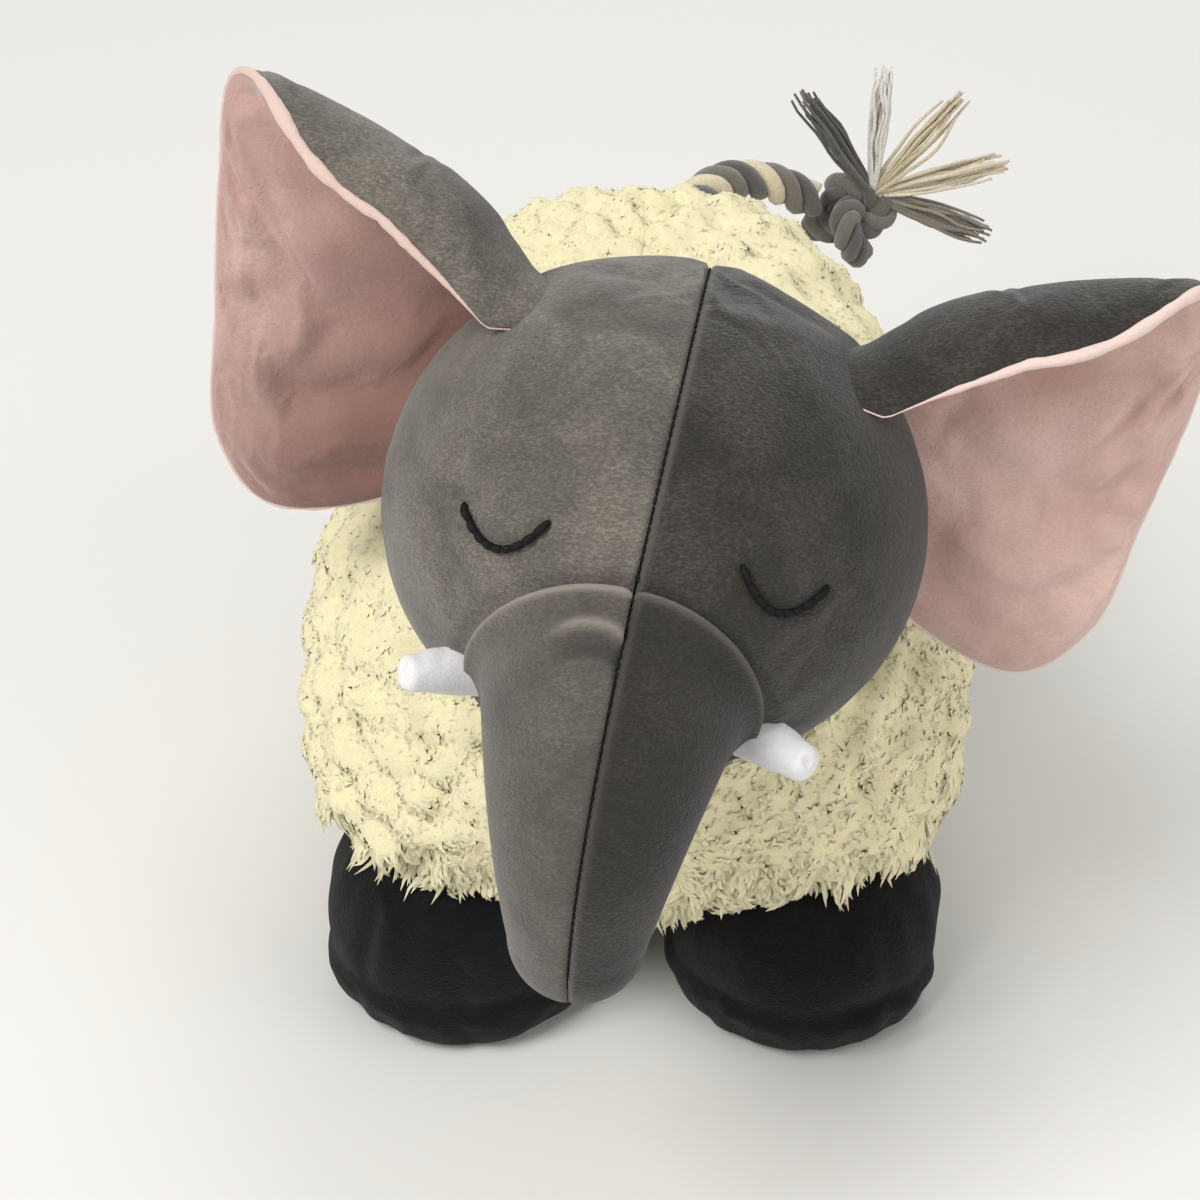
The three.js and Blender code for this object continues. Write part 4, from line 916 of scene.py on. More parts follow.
ROPE_TONES = (0.0, 0.06, 0.5)  # of the rope's three strands
KNOT_TONES = (0.0, 0.05, 0.02)
KNOT_LAY = 24
ROPE_GREY = "#55514d"
ROPE_CREAM = "#e3d5b4"
ROPE_WHITE = "#efece6"


def smooth_curve(points, at, closed=False):
    """A centripetal Catmull-Rom curve: between two points it is the cubic whose slopes come from their
    neighbours, with knots spaced by the square roots of the gaps. At runs from 0 to 1 over all of it."""
    points = np.asarray(points, float)
    if closed:
        points = np.concatenate([points[-1:], points, points[:2]])
    else:
        points = np.concatenate([2 * points[:1] - points[1:2], points, 2 * points[-1:] - points[-2:-1]])
    spans = len(points) - 3
    span = np.clip(np.floor(at * spans).astype(int), 0, spans - 1)
    share = (at * spans - span)[..., None]
    a, b, c, d = (points[span + k] for k in range(4))
    gaps = (np.linalg.norm(q - p, axis=-1, keepdims=True) for p, q in ((a, b), (b, c), (c, d)))
    before, between, after = map(np.sqrt, gaps)
    slope_b = between * ((b - a) / before - (c - a) / (before + between) + (c - b) / between)
    slope_c = between * ((c - b) / between - (d - b) / (between + after) + (d - c) / after)
    cube = 2 * b - 2 * c + slope_b + slope_c
    square = 3 * c - 3 * b - 2 * slope_b - slope_c
    return b + share * (slope_b + share * (square + share * cube))


def laid_rope(line, radius, lay, across, strands=3, sides=9):
    """Strands twisted together along a line: each winds round it once in a lay's length, and they touch."""
    strand = radius / (1 + 1 / math.sin(math.pi / strands))
    ahead = unit(np.gradient(line, axis=0))
    first = unit(across - np.sum(across * ahead, axis=-1, keepdims=True) * ahead)
    second = np.cross(ahead, first)
    run = run_along(line)
    turn = 2 * math.pi * (run / lay + np.arange(strands)[:, None] / strands)[..., None]
    paths = line + (radius - strand) * (np.cos(turn) * first + np.sin(turn) * second)
    radii = np.full(paths.shape[:2], strand * STRAND_PLUMP)
    return tubes(paths, radii, sides, np.broadcast_to(first, paths.shape))


# Spun cotton rope: dull, with hairy yarns that run along each strand. Yarns are 1 mm, drawn at that.
cotton_rope, tree, shader = start_material("spun_cotton_rope", Roughness=0.95, Sheen_Weight=0.4,
                                           Sheen_Roughness=0.6)
place = add_node(tree, "ShaderNodeTexCoord").outputs["Object"]
tone = add_node(tree, "ShaderNodeAttribute", attribute_name="tone").outputs["Fac"]
yarn = add_node(tree, "ShaderNodeTexNoise", {"Vector": place, "Scale": cells(1.0), "Detail": 4.0,
                                             "Distortion": 1.2})
low = add_node(tree, "ShaderNodeMapRange", {"Value": tone, "From Min": 0.0, "From Max": 0.5})
high = add_node(tree, "ShaderNodeMapRange", {"Value": tone, "From Min": 0.5, "From Max": 1.0})
dyed = add_node(tree, "ShaderNodeMixRGB", {"Fac": low.outputs["Result"], "Color1": colour(ROPE_GREY),
                                           "Color2": colour(ROPE_CREAM)})
plain = add_node(tree, "ShaderNodeMixRGB", {"Fac": high.outputs["Result"], "Color1": dyed.outputs["Color"],
                                            "Color2": colour(ROPE_WHITE)})
shade = add_node(tree, "ShaderNodeMapRange", {"Value": yarn.outputs["Fac"], "From Min": 0.3, "From Max": 0.7,
                                              "To Min": 0.72, "To Max": 1.06})
worn = add_node(tree, "ShaderNodeMixRGB", {"Fac": 1.0, "Color1": plain.outputs["Color"],
                                           "Color2": shade.outputs["Result"]}, blend_type="MULTIPLY")
rough = add_node(tree, "ShaderNodeBump", {"Height": yarn.outputs["Fac"], "Strength": 0.7, "Distance": 0.0008})
finish_material(tree, shader, worn, rough)

tail_origin = np.array([*(body_middle[:2] + TAIL_ROOT), TAIL_LEVEL])
up_axis = np.array([0, 0, 1.0])
line = tail_origin + smooth_curve(TAIL_ROUTE, np.linspace(TAIL_START, 1, TAIL_STEPS))
points, faces = laid_rope(line, ROPE_RADIUS, ROPE_LAY, up_axis)
rope = add_piece("tail_cord", points, faces, cotton_rope)
paint(rope, "tone", np.repeat(ROPE_TONES, len(points) // len(ROPE_TONES)))

ahead = unit(line[-1] - line[-3])
knot_centre = line[-1] + ahead * (KNOT_RADIUS + SEAT)
turn = np.linspace(0, 2 * math.pi, KNOT_STEPS)
size = (KNOT_RADIUS - KNOT_ROPE) / 3
knot_line = size * np.stack([np.sin(turn) + 2 * np.sin(2 * turn), np.cos(turn) - 2 * np.cos(2 * turn),
                             -KNOT_DEPTH * np.sin(3 * turn)], axis=-1)
first = unit(np.cross(ahead, up_axis))
knot_line = knot_centre + knot_line @ np.stack([first, np.cross(ahead, first), ahead])
points, faces = laid_rope(knot_line, KNOT_ROPE, KNOT_LAY, unit(knot_line - knot_centre) + 0.3 * ahead)
knot = add_piece("tail_knot_turns", points, faces, cotton_rope)
paint(knot, "tone", np.repeat(KNOT_TONES, len(points) // len(KNOT_TONES)))

rng = np.random.default_rng(57)
fan = np.linspace(-0.5, 0.5, len(BUNCH_TONES)) * TASSEL_SPREAD + TASSEL_MIDDLE
bunches = np.repeat(np.radians(fan), YARNS)
count = len(bunches)
towards = np.stack([np.cos(bunches), 0 * bunches, np.sin(bunches)], axis=-1)
sidewise = np.stack([-np.sin(bunches), 0 * bunches, np.cos(bunches)], axis=-1)
middle = math.radians(TASSEL_MIDDLE)
fan_root = knot_centre + (KNOT_RADIUS - TASSEL_ROOT) * np.array([math.cos(middle), 0, math.sin(middle)])
spread = rng.normal(0, 1, (count, 2)) * BUNCH_SPREAD
length = TASSEL_LENGTH * rng.uniform(*YARN_CUTS, (count, 1))
steps = np.linspace(0, 1, YARN_STEPS)[None, :, None]
swell = np.sin(math.pi * np.clip(steps * BUNCH_SWELL[1] + BUNCH_SWELL[0], 0, 1))
paths = fan_root + towards[:, None] * (length[:, None] + TASSEL_ROOT) * steps
paths = paths + swell * (sidewise * spread[:, :1] + np.array([0, 1.0, 0]) * spread[:, 1:])[:, None]
waves = steps * rng.uniform(*YARN_WAVES, (count, 1, 1)) + rng.random((count, 1, 1))
stray = steps * np.sin(2 * math.pi * waves) * rng.uniform(*YARN_STRAY, (count, 1, 1))
paths = paths + stray * unit(rng.normal(size=(count, 1, 3)))
radii = YARN_RADIUS * (YARN_TAPER[0] - YARN_TAPER[1] * steps[..., 0]) * np.ones((count, 1))
points, faces = tubes(paths, radii, YARN_SIDES, rng.normal(size=(count, 1, 3)))
tassel = add_piece("tail_tassel_yarns", points, faces, cotton_rope)
tones = np.repeat(BUNCH_TONES, YARNS) + rng.uniform(-YARN_TONE_STRAY, YARN_TONE_STRAY, count)
paint(tassel, "tone", np.repeat(np.clip(tones, 0, 1), len(points) // count))

for piece, node, slot in ((rope, "tail_rope", "grey_rope"), (knot, "tail_knot", "grey_rope"),
                          (tassel, "tail_tassel", "cream_rope")):
    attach(piece, "body")
    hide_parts(node)

# Neck wad: a cupped pad of polyester fibre, pushed into the neck opening before the neck is closed. It
# carries the head and lets it turn and nod.

NECK_DROP = 50  # degrees that the neck falls from the head to the body
NECK_SPREAD = 26  # degrees from the middle of the pad to its edge
NECK_STEPS = 25
NECK_THICKNESS = 1.4
NECK_SEAT = 0.1  # more room behind it than between other soft pieces
neck_way = np.array([0, math.cos(math.radians(NECK_DROP)), -math.sin(math.radians(NECK_DROP))])
pole, a_part, b_part, share = half_ball(NECK_STEPS)
tilt = np.radians(NECK_SPREAD) * share
other = np.cross(neck_way, [1, 0, 0])
ring = unit(np.stack([a_part, b_part], axis=-1))
spokes = np.cos(tilt)[..., None] * neck_way
spokes = spokes + np.sin(tilt)[..., None] * (ring[..., :1] * np.array([1.0, 0, 0]) + ring[..., 1:] * other)
outer = HEAD_SOCKET - WAD_GAP - NECK_SEAT
inner = outer - NECK_THICKNESS * np.sqrt(np.clip(1 - share**4, 0, 1))[..., None]
points = head_centre + np.stack([spokes * outer, spokes * inner])
neck = add_piece("neck_wad", points, [grid_quads(NECK_STEPS, NECK_STEPS, count=2)], fibre_fill)
weld(neck)
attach(neck, "neck")
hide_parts("neck_stuffing")

# Head stuffing: one firm ball of polyester fibre, pushed in through the neck opening and hollowed in front
# by the root of the trunk.

HEAD_HALVES = (72, 69)  # half width and half depth
HEAD_HEIGHTS = (64, 70)  # centre to crown and centre to jaw
HEAD_PEAR = 0.08  # share by which the jaw is wider than the middle
TRUNK_ROOT = np.array([0, -40, -17])  # from the head's centre
TRUNK_RADII = (38.5, 18.5)  # root and tip
HEAD_WAD_STEPS = 41
HEAD_WAD_LUMPS = (0.006, 18)  # depth as a share of the radius, and size

# The head's own axes come from its two joints, which keep the same angle to each other however it is turned.
nod_axis, twist_axis = (unit(np.array(joints[name]["axis"])) for name in ("head_nod", "neck_twist"))
flat_twist = np.array([0, *twist_axis[1:]])
turned = np.stack([nod_axis, twist_axis, np.cross(nod_axis, twist_axis)], axis=-1)
straight = np.stack([[1, 0, 0], flat_twist, np.cross([1, 0, 0], flat_twist)], axis=-1)
head_axes = turned @ np.linalg.inv(straight)


def from_head(points):
    """Points of the head's own frame in the toy's frame."""
    return head_centre + points @ head_axes.T


def head_surface(direction, inset=0.0):
    """The head's outside, less an inset, in a direction from its centre: an oval of its own height above
    and below, wider towards the jaw."""
    pear = 1 - HEAD_PEAR * direction[..., 2]
    height = np.where(direction[..., 2] > 0, *HEAD_HEIGHTS) - inset
    x = (HEAD_HALVES[0] - inset) * pear * direction[..., 0]
    y = (HEAD_HALVES[1] - inset) * pear * direction[..., 1]
    return np.stack([x, y, height * direction[..., 2]], axis=-1)


def out_of_head(points):
    """The way out of the head at points on it: each part over its half size squared, made one long."""
    return unit(points / np.array([HEAD_HALVES[0] ** 2, HEAD_HALVES[1] ** 2, HEAD_HEIGHTS[0] ** 2]))


def face_front(x, z):
    """How far forward the face lies at a place seen from in front."""
    height = np.where(z > 0, *HEAD_HEIGHTS)
    pear = 1 - HEAD_PEAR * z / height
    return -HEAD_HALVES[1] * pear * np.sqrt(1 - (z / height) ** 2 - (x / (HEAD_HALVES[0] * pear)) ** 2)


pole, a_part, b_part, share = half_ball(HEAD_WAD_STEPS)
halves = np.stack([np.stack([side * pole, a_part, b_part], axis=-1) for side in (1, -1)])
points = head_surface(halves, PLUSH + WAD_SLACK)
points = hollow(points, np.zeros(3), TRUNK_ROOT, TRUNK_RADII[0] + WAD_GAP)
depth, size = HEAD_WAD_LUMPS
points *= (1 - depth - depth * lumps(points, size, 61))[..., None]
quads = grid_quads(HEAD_WAD_STEPS, HEAD_WAD_STEPS, count=2)
head_wad = add_piece("head_wad", from_head(points), [quads], fibre_fill)
weld(head_wad)
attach(head_wad, "head")
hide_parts("head_stuffing")

# Trunk: two short-pile panels sewn over its middle, stuffed firm and sewn to the face, on which their edge
# stands as a lip. The top puckers beside the seam, where the trunk bends when it is lifted.

PLUSH_GREYS_LIT_AND_SHADED = {  # by side, painted light and shade: the left panels are a shaded copy and the right panels a lit copy of one grey plush
    "left": ("#2b2926", "#393633", "#5c5751"),
    "right": ("#4d4944", "#69645c", "#958d82"),
}
TRUNK_BEND = np.array([[0, 0, 0], [0, -46, -64 / 3], [5, -46, -64]])  # the middle line's three control points
TRUNK_WAD_ROWS = (12, 24, 10)  # root, tube and tip
TRUNK_WAD_SIDES = 48
TRUNK_ROWS = (90, 24)  # tube and tip
TRUNK_COLUMNS = 45
TRUNK_CROWD = (1.25, 1.5)  # powers that draw rows to the lip and columns to the seams
TRUNK_SWELL = 2.0
TRUNK_PAINTED_SHADE = 0.4  # painted shade over the trunk, so that it renders darker than the head
LIP_LAP = 4.5  # how deep in the face the trunk's own form lies where its panels end
LIP_PROUD = 1.2  # the panels' edge above the face
LIP_FILLET = 2.5
LIP_ROLL = (0.7, 1.6)  # rise and width of the rolled edge
PUCKER_AT = 0.15  # share along the trunk
PUCKER_BOW = 0.032
PUCKER_SIDE = (12, 19)  # middle and reach, degrees off the seam
PUCKER_HELD = 0.2  # share of its depth from which its tacking holds the cloth
PUCKER_RISE = 3.2
PUCKER_DEPTH = 4.2
PUCKER_WIDTHS = (0.024, 0.010, 0.03)  # the fold's upper and lower side and the hollow, shares along the trunk
SEAM_DEPTH = 1.3
SEAM_WIDTH = 0.95
SEAM_PULL = (0.6, 8)  # depth and width of the shallow trough round a seam
SEAM_FADE = (5, 13)  # radius of the trunk at which its seam begins, and over how much more it deepens
SEAM_HIGHLIGHT = (0.8, 1.2, 0.9)  # strength, place and width of the painted highlight beside a seam, where fibres also stand on end
LIP_HIGHLIGHT = 1.3  # width of the painted highlight along the lip, where fibres also stand on end
TRUNK_SHADE_FULL = 6  # from the lip, where the trunk's painted shade is full
STITCH_PITCH = 2.4
STITCH_HALF = 0.75
STITCH_RADIUS = 0.32
STITCH_STEPS = 5
STITCH_SIDES = 6
STITCH_PROUD = 1.3  # its middle above the bottom of the groove, in radii
STITCH_DIVE = 0.25  # how much deeper its ends go

# A shaded copy of the grey plush for the left side and a lit copy for the right, as painted light and shade.
grey_plush = {side: short_pile(f"grey_velboa_plush_{side}", *greys, nap=24, sheen=0.3)
              for side, greys in PLUSH_GREYS_LIT_AND_SHADED.items()}


def trunk_line(along):
    """The trunk's middle line from root to tip, a curve with three control points, and its direction."""
    a, b, c = TRUNK_BEND
    along = along[..., None]
    line = 2 * along * (1 - along) * b + along**2 * c + (1 - along) ** 2 * a
    return line, unit((1 - along) * (b - a) + along * (c - b))


def trunk_surface(cap, along, turn, inset=0.0):
    """The trunk's outside from the head's centre: a ring about the middle line that narrows towards the
    tip, with a ball at each end, by the angle that the ball has closed. Returns the way out as well."""
    line, ahead = trunk_line(along)
    over = unit(np.cross(ahead, [1, 0, 0]))
    across = np.cross(over, ahead)
    radius = (np.interp(along, (0, 1), TRUNK_RADII) - inset)[..., None]
    spoke = np.cos(turn)[..., None] * across + np.sin(turn)[..., None] * over
    outwards = np.cos(cap)[..., None] * spoke + np.sin(cap)[..., None] * ahead
    return TRUNK_ROOT + line + radius * outwards, outwards


def above_face(points):
    """How far points lie outside the head: their distance from its centre less its surface's there."""
    return np.linalg.norm(points, axis=-1) - np.linalg.norm(head_surface(unit(points)), axis=-1)


def trunk_edge(turn):
    """The share along the trunk at which its panels end, for each turn round it: the first of a fine run of
    shares where the trunk's own form is less than a lap deep in the face."""
    run = np.linspace(0, 0.5, 600)[:, None]
    depth = above_face(trunk_surface(0 * run, run + 0 * turn, turn + 0 * run)[0])
    return run[np.argmax(depth > -LIP_LAP, axis=0), 0]


def trunk_cloth(cap, along, turn, edge):
    """The trunk's outside as it is sewn: where it would sink into the face it lies on it instead, by a
    rounded maximum of its own height above the face and the lip's, and it is rolled at its edge, a share
    along. Returns the points, the way out and the distance from the edge."""
    points, outwards = trunk_surface(cap, along, turn)
    height = above_face(points)
    lifted = (height + LIP_PROUD + np.hypot(height - LIP_PROUD, LIP_FILLET)) / 2
    from_edge = (along - edge) * 2 * np.linalg.norm(TRUNK_BEND[1])
    rise, width = LIP_ROLL
    lifted = lifted + rise * np.exp(-((from_edge / width) ** 2))
    return points + unit(points) * (lifted - height)[..., None], outwards, from_edge


def seam_dip(distance):
    """How far a panel is drawn in at a distance from a seam: a narrow bell inside a shallow wide one."""
    depth, width = SEAM_PULL
    return SEAM_DEPTH * np.exp(-((distance / SEAM_WIDTH) ** 2)) + depth * np.exp(-((distance / width) ** 2))


def seam_highlight(distance):
    """How much painted highlight lies at a distance from a seam, where the pile also stands on end: a bell
    beside the groove.
    """
    strength, place, width = SEAM_HIGHLIGHT
    return strength * np.exp(-(((distance - place) / width) ** 2))


def seam_stitches(name, middles, outwards):
    """Back stitches along a seam: short bars of thread that lie down in its groove, one after the other."""
    ahead = unit(np.gradient(middles, axis=0))
    reach = np.linspace(-STITCH_HALF, STITCH_HALF, STITCH_STEPS)[None, :, None]
    sink = (seam_dip(0) - STITCH_PROUD * STITCH_RADIUS) + STITCH_DIVE * (reach / STITCH_HALF) ** 2
    paths = middles[:, None] + ahead[:, None] * reach - outwards[:, None] * sink
    points, faces = tubes(paths, np.full(paths.shape[:2], STITCH_RADIUS), STITCH_SIDES, outwards[:, None])
    return add_piece(name, points, faces, seam_thread)


# The seam's own thread: charcoal polyester, which shows as short dark bars down in the groove.
# Plies are 0.2 mm, drawn at 0.5 mm.
seam_thread, tree, shader = start_material("charcoal_sewing_thread", Roughness=0.7, Specular_IOR_Level=0.2)
place = add_node(tree, "ShaderNodeTexCoord").outputs["Object"]
ply = add_node(tree, "ShaderNodeTexNoise", {"Vector": place, "Scale": cells(0.5), "Detail": 2.0})
tint = add_node(tree, "ShaderNodeMixRGB", {"Fac": ply.outputs["Fac"], "Color1": colour("#0d0c0c"),
                                           "Color2": colour("#1e1c1b")})
tree.links.new(tint.outputs["Color"], shader.inputs["Base Color"])

root, tube, tip = TRUNK_WAD_ROWS
closed = np.concatenate([np.linspace(-1, 0, root), np.zeros(tube), np.linspace(0, 1, tip)])[:, None]
along = np.concatenate([np.zeros(root), np.linspace(0, 1, tube + 2)[1:-1], np.ones(tip)])[:, None]
turn = np.linspace(0, 2 * math.pi, TRUNK_WAD_SIDES + 1)[None, :-1]
points, _ = trunk_surface(closed * 0.999 * math.pi / 2, along, turn, PLUSH + WAD_SLACK)
quads = grid_quads(len(along), TRUNK_WAD_SIDES, around=True)
trunk_wad = add_piece("trunk_wad", from_head(points), [quads], fibre_fill)
weld(trunk_wad)

trunk_pieces = [(trunk_wad, "trunk_stuffing", "fibre_fill")]
tube, tip = TRUNK_ROWS
cap = np.concatenate([np.zeros(tube), np.linspace(0, math.pi / 2, tip + 1)[1:]])[:, None]
share = np.concatenate([np.linspace(0, 1, tube) ** TRUNK_CROWD[0], np.ones(tip)])[:, None]
spread = np.linspace(-1, 1, TRUNK_COLUMNS)
half_turn = np.sign(spread) * (1 - (1 - np.abs(spread)) ** TRUNK_CROWD[1]) * math.pi / 2
for name, side in (("left", 1), ("right", -1)):
    turn = half_turn if side > 0 else math.pi - half_turn
    edge = trunk_edge(turn)
    along = edge * (1 - share) + share
    points, outwards, from_edge = trunk_cloth(cap, along, turn + 0 * along, edge)
    radius = np.interp(along, (0, 1), TRUNK_RADII) * np.cos(cap)
    from_seam = radius * (math.pi / 2 - np.abs(half_turn))
    dip = seam_dip(from_seam) * np.clip((radius - SEAM_FADE[0]) / SEAM_FADE[1], 0, 1) ** 2
    middle, reach = PUCKER_SIDE
    beside = (np.degrees(math.pi / 2 - half_turn) - middle) / reach
    behind = along - PUCKER_AT - PUCKER_BOW * beside**2
    upper, lower, hollow_width = PUCKER_WIDTHS
    fade = (side < 0) * np.exp(-(beside**4))
    fold = fade * np.exp(-((behind / np.where(behind < 0, upper, lower)) ** 2))
    below = fade * np.exp(-(((behind - lower - hollow_width) / hollow_width) ** 2))
    dip = dip - PUCKER_RISE * fold + PUCKER_DEPTH * below
    points = (points - outwards * dip[..., None]).reshape(-1, 3)
    quads = face_out(points, grid_quads(len(cap), TRUNK_COLUMNS), TRUNK_ROOT + trunk_line(np.array(0.5))[0])
    panel = add_piece(f"trunk_plush_{name}", from_head(points), [quads], grey_plush[name])
    held = np.zeros(dip.shape, bool)
    held[:4] = held[-3:] = held[:, :3] = held[:, -3:] = True
    held |= fold + below > PUCKER_HELD
    stuff(panel, held.ravel(), TRUNK_SWELL, slack=0.025)
    # Painted highlight on the rolled lip, on the pucker's ridge and beside the seam on the left panel only,
    # where fibres also stand on end.
    fuzz = np.exp(-((from_edge / LIP_HIGHLIGHT) ** 2)) + fold**2
    paint(panel, "rim", np.maximum(fuzz, seam_highlight(from_seam) * (side > 0)))
    # Painted shade in the pucker's hollow and over the trunk past the lip.
    paint(panel, "shade", np.maximum(below, TRUNK_PAINTED_SHADE * np.clip(from_edge / TRUNK_SHADE_FULL, 0, 1) * (1 - fold)))
    thicken(panel, PLUSH, levels=1)
    trunk_pieces.append((panel, f"trunk_cover_{name}", "grey_plush"))

top = np.array([math.pi / 2])
edge = trunk_edge(top)[0]
run = np.linspace(edge, 1, 400)
line, _, _ = trunk_cloth(0 * run, run, top + 0 * run, edge)
length = run_along(line)
at = np.interp(np.arange(2, length[-1], STITCH_PITCH), length, run)
middles, outwards, _ = trunk_cloth(0 * at, at, top + 0 * at, edge)
stitches = seam_stitches("trunk_seam_stitches", from_head(middles), outwards @ head_axes.T)

lip_top = line[0]
for piece, node, slot in trunk_pieces:
    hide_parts(node)
for piece in [stitches, *(piece for piece, _, _ in trunk_pieces)]:
    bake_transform(piece)

# Eyes: each closed eye is one sagging arc of thick black thread, sewn in back stitch through the face panel
# before the head is closed.

EYE_SIDE = 35.5  # middle of the head to the middle of the eye
EYE_LEVEL = 12
EYE_HALF = 11
EYE_SAG = 7.5
EYE_SLANT = 3.5
EYE_THREAD = 1.05  # radius
EYE_STITCHES = 9
EYE_STITCH_GRID = (9, 10)  # along a stitch and around it
EYE_LOFT = (1.15, 0.35)  # how far a stitch rises and how deep its ends sink, in radii
EYE_PLUMP = (0.55, 0.5)  # radius at a stitch's ends and how much more half way, shares of the thread's
EYE_OVERLAP = 0.12  # share of its length by which a stitch passes the next
THREAD_BLACK = ("#050505", "#141314")


def eye_arc(across, side):
    """Points of the eye on the face: a sagging arc, higher at its inner end."""
    x = EYE_SIDE + EYE_HALF * across
    z = EYE_LEVEL + EYE_SAG * across**2 - EYE_SLANT * across
    return np.stack([side * x, face_front(x, z), z], axis=-1)


# Twisted embroidery thread: dead black, with only a dull gleam along the plies.
# Plies are 0.4 mm, drawn at 0.6 mm.
black_thread, tree, shader = start_material("black_embroidery_thread", Roughness=0.7, Specular_IOR_Level=0.25)
place = add_node(tree, "ShaderNodeTexCoord").outputs["Object"]
ply = add_node(tree, "ShaderNodeTexNoise", {"Vector": place, "Scale": cells(0.6), "Detail": 3.0})
tint = add_node(tree, "ShaderNodeMixRGB", {"Fac": ply.outputs["Fac"], "Color1": colour(THREAD_BLACK[0]),
                                           "Color2": colour(THREAD_BLACK[1])})
rough = add_node(tree, "ShaderNodeBump", {"Height": ply.outputs["Fac"], "Strength": 0.6, "Distance": 0.0004})
finish_material(tree, shader, tint, rough)

for name, side in (("left", 1), ("right", -1)):
    starts = np.linspace(-1, 1, EYE_STITCHES + 1)[:-1, None]
    steps = np.linspace(-EYE_OVERLAP, 1 + EYE_OVERLAP, EYE_STITCH_GRID[0])[None, :]
    across = np.clip(starts + steps * 2 / EYE_STITCHES, -1.02, 1.02)
    rise = np.sin(math.pi * np.clip((steps + EYE_OVERLAP) / (1 + 2 * EYE_OVERLAP), 0, 1)) + 0 * across
    points = eye_arc(across, side)
    out = out_of_head(points)
    points = points + out * (EYE_THREAD * (EYE_LOFT[0] * rise - EYE_LOFT[1]))[..., None]
    radii = EYE_THREAD * (EYE_PLUMP[0] + EYE_PLUMP[1] * rise**0.6)
    points, faces = tubes(from_head(points), radii, EYE_STITCH_GRID[1], out @ head_axes.T)
    eye = add_piece(f"eye_thread_{name}", points, faces, black_thread)
    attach(eye, "head")
    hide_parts(f"eye_stitch_{name}")

# Head panels: warm dark-grey short-pile plush, a left and a right panel sewn together over the middle of
# the face and crown. Each is left open at the neck and at the trunk, and pulled in along its seams.

HEAD_STEPS = 97
HEAD_HELD = 0.96  # share of the way to its rim from which a head panel is held
HEAD_SWELL = 2.5
NECK_OPENING = 31  # radius
NECK_HELD = 4  # how far round the opening the cloth is held
TRUNK_LAP = 4  # how far the face goes in under the trunk
SEAM_HALF = 0.15  # each panel's edge from the middle of the seam
EYE_HELD = 3.0
TRUNK_SEAM = (1.3, 2.6)  # depth and width of the dip round the root of the trunk
EYE_DIP = (0.7, 2.6)
SEAM_ARC = (-8, 150)  # degrees from straight ahead up over the crown and down the back


def dip_near(points, line, depth, width):
    """How far a surface is drawn in near a line of points: a bell of a depth and a width."""
    gap = np.linalg.norm(points[:, None] - line[None], axis=-1).min(1)
    return depth * np.exp(-((gap / width) ** 2))


round_root = np.linspace(0, 2 * math.pi, 240)
root_seam = trunk_surface(0 * round_root, trunk_edge(round_root), round_root)[0]
root_seam = head_surface(unit(root_seam))
neck_in_head = neck_way @ head_axes
pole, a_part, b_part, share = half_ball(HEAD_STEPS, crowd=1.5)
for name, side in (("left", 1), ("right", -1)):
    direction = np.stack([side * pole, a_part, b_part], axis=-1)
    points = head_surface(direction).reshape(-1, 3)
    outwards = out_of_head(points)
    from_trunk = np.linalg.norm(points - TRUNK_ROOT, axis=1) - TRUNK_RADII[0]
    along_neck = points @ neck_in_head
    from_neck = np.linalg.norm(points - along_neck[:, None] * neck_in_head, axis=1)
    in_neck = (from_neck < NECK_OPENING) & (along_neck > 0)
    quads = grid_quads(HEAD_STEPS, HEAD_STEPS)
    quads = quads[~((from_trunk[quads] < -TRUNK_LAP).all(1) | in_neck[quads].all(1))]
    eye_line = eye_arc(np.linspace(-1, 1, 40), side)
    from_seam = np.abs(points[:, 0])
    root_dip = dip_near(points, root_seam, 1, TRUNK_SEAM[1])
    dip = seam_dip(from_seam) + TRUNK_SEAM[0] * root_dip + dip_near(points, eye_line, *EYE_DIP)
    points = points - outwards * dip[:, None]
    points[:, 0] = side * np.maximum(np.abs(points[:, 0]), SEAM_HALF)
    used = np.unique(quads)
    held = (share.ravel() > HEAD_HELD) | (root_dip > 0.1) | (dip_near(points, eye_line, 1, EYE_HELD) > 0.3)
    held |= (from_neck < NECK_OPENING + NECK_HELD) | (from_trunk < 0)
    quads = face_out(points, quads)
    panel = add_piece(f"head_plush_{name}", from_head(points), [quads], grey_plush[name])
    stuff(panel, held[used], HEAD_SWELL, slack=0.025)
    # Painted highlight beside the seam on the left panel only, where fibres also stand on end.
    paint(panel, "rim", seam_highlight(from_seam[used]) * (side > 0))
    thicken(panel, PLUSH, levels=1)
    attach(panel, "head")
    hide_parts(f"head_cover_{name}")

turn = np.radians(np.arange(*SEAM_ARC, math.degrees(STITCH_PITCH / HEAD_HEIGHTS[0])))
direction = np.stack([0 * turn, -np.cos(turn), np.sin(turn)], axis=-1)
middles = head_surface(direction)
outwards = out_of_head(middles)
clear = middles[:, 2] > head_surface(unit(lip_top))[2] + 1
stitches = seam_stitches("head_seam_stitches", from_head(middles[clear]), outwards[clear] @ head_axes.T)
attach(stitches, "head")

# Tusks: short cones of white felt, each sewn up along one side, stuffed and sewn to a cheek. A pucker shows
# where the tip was closed.

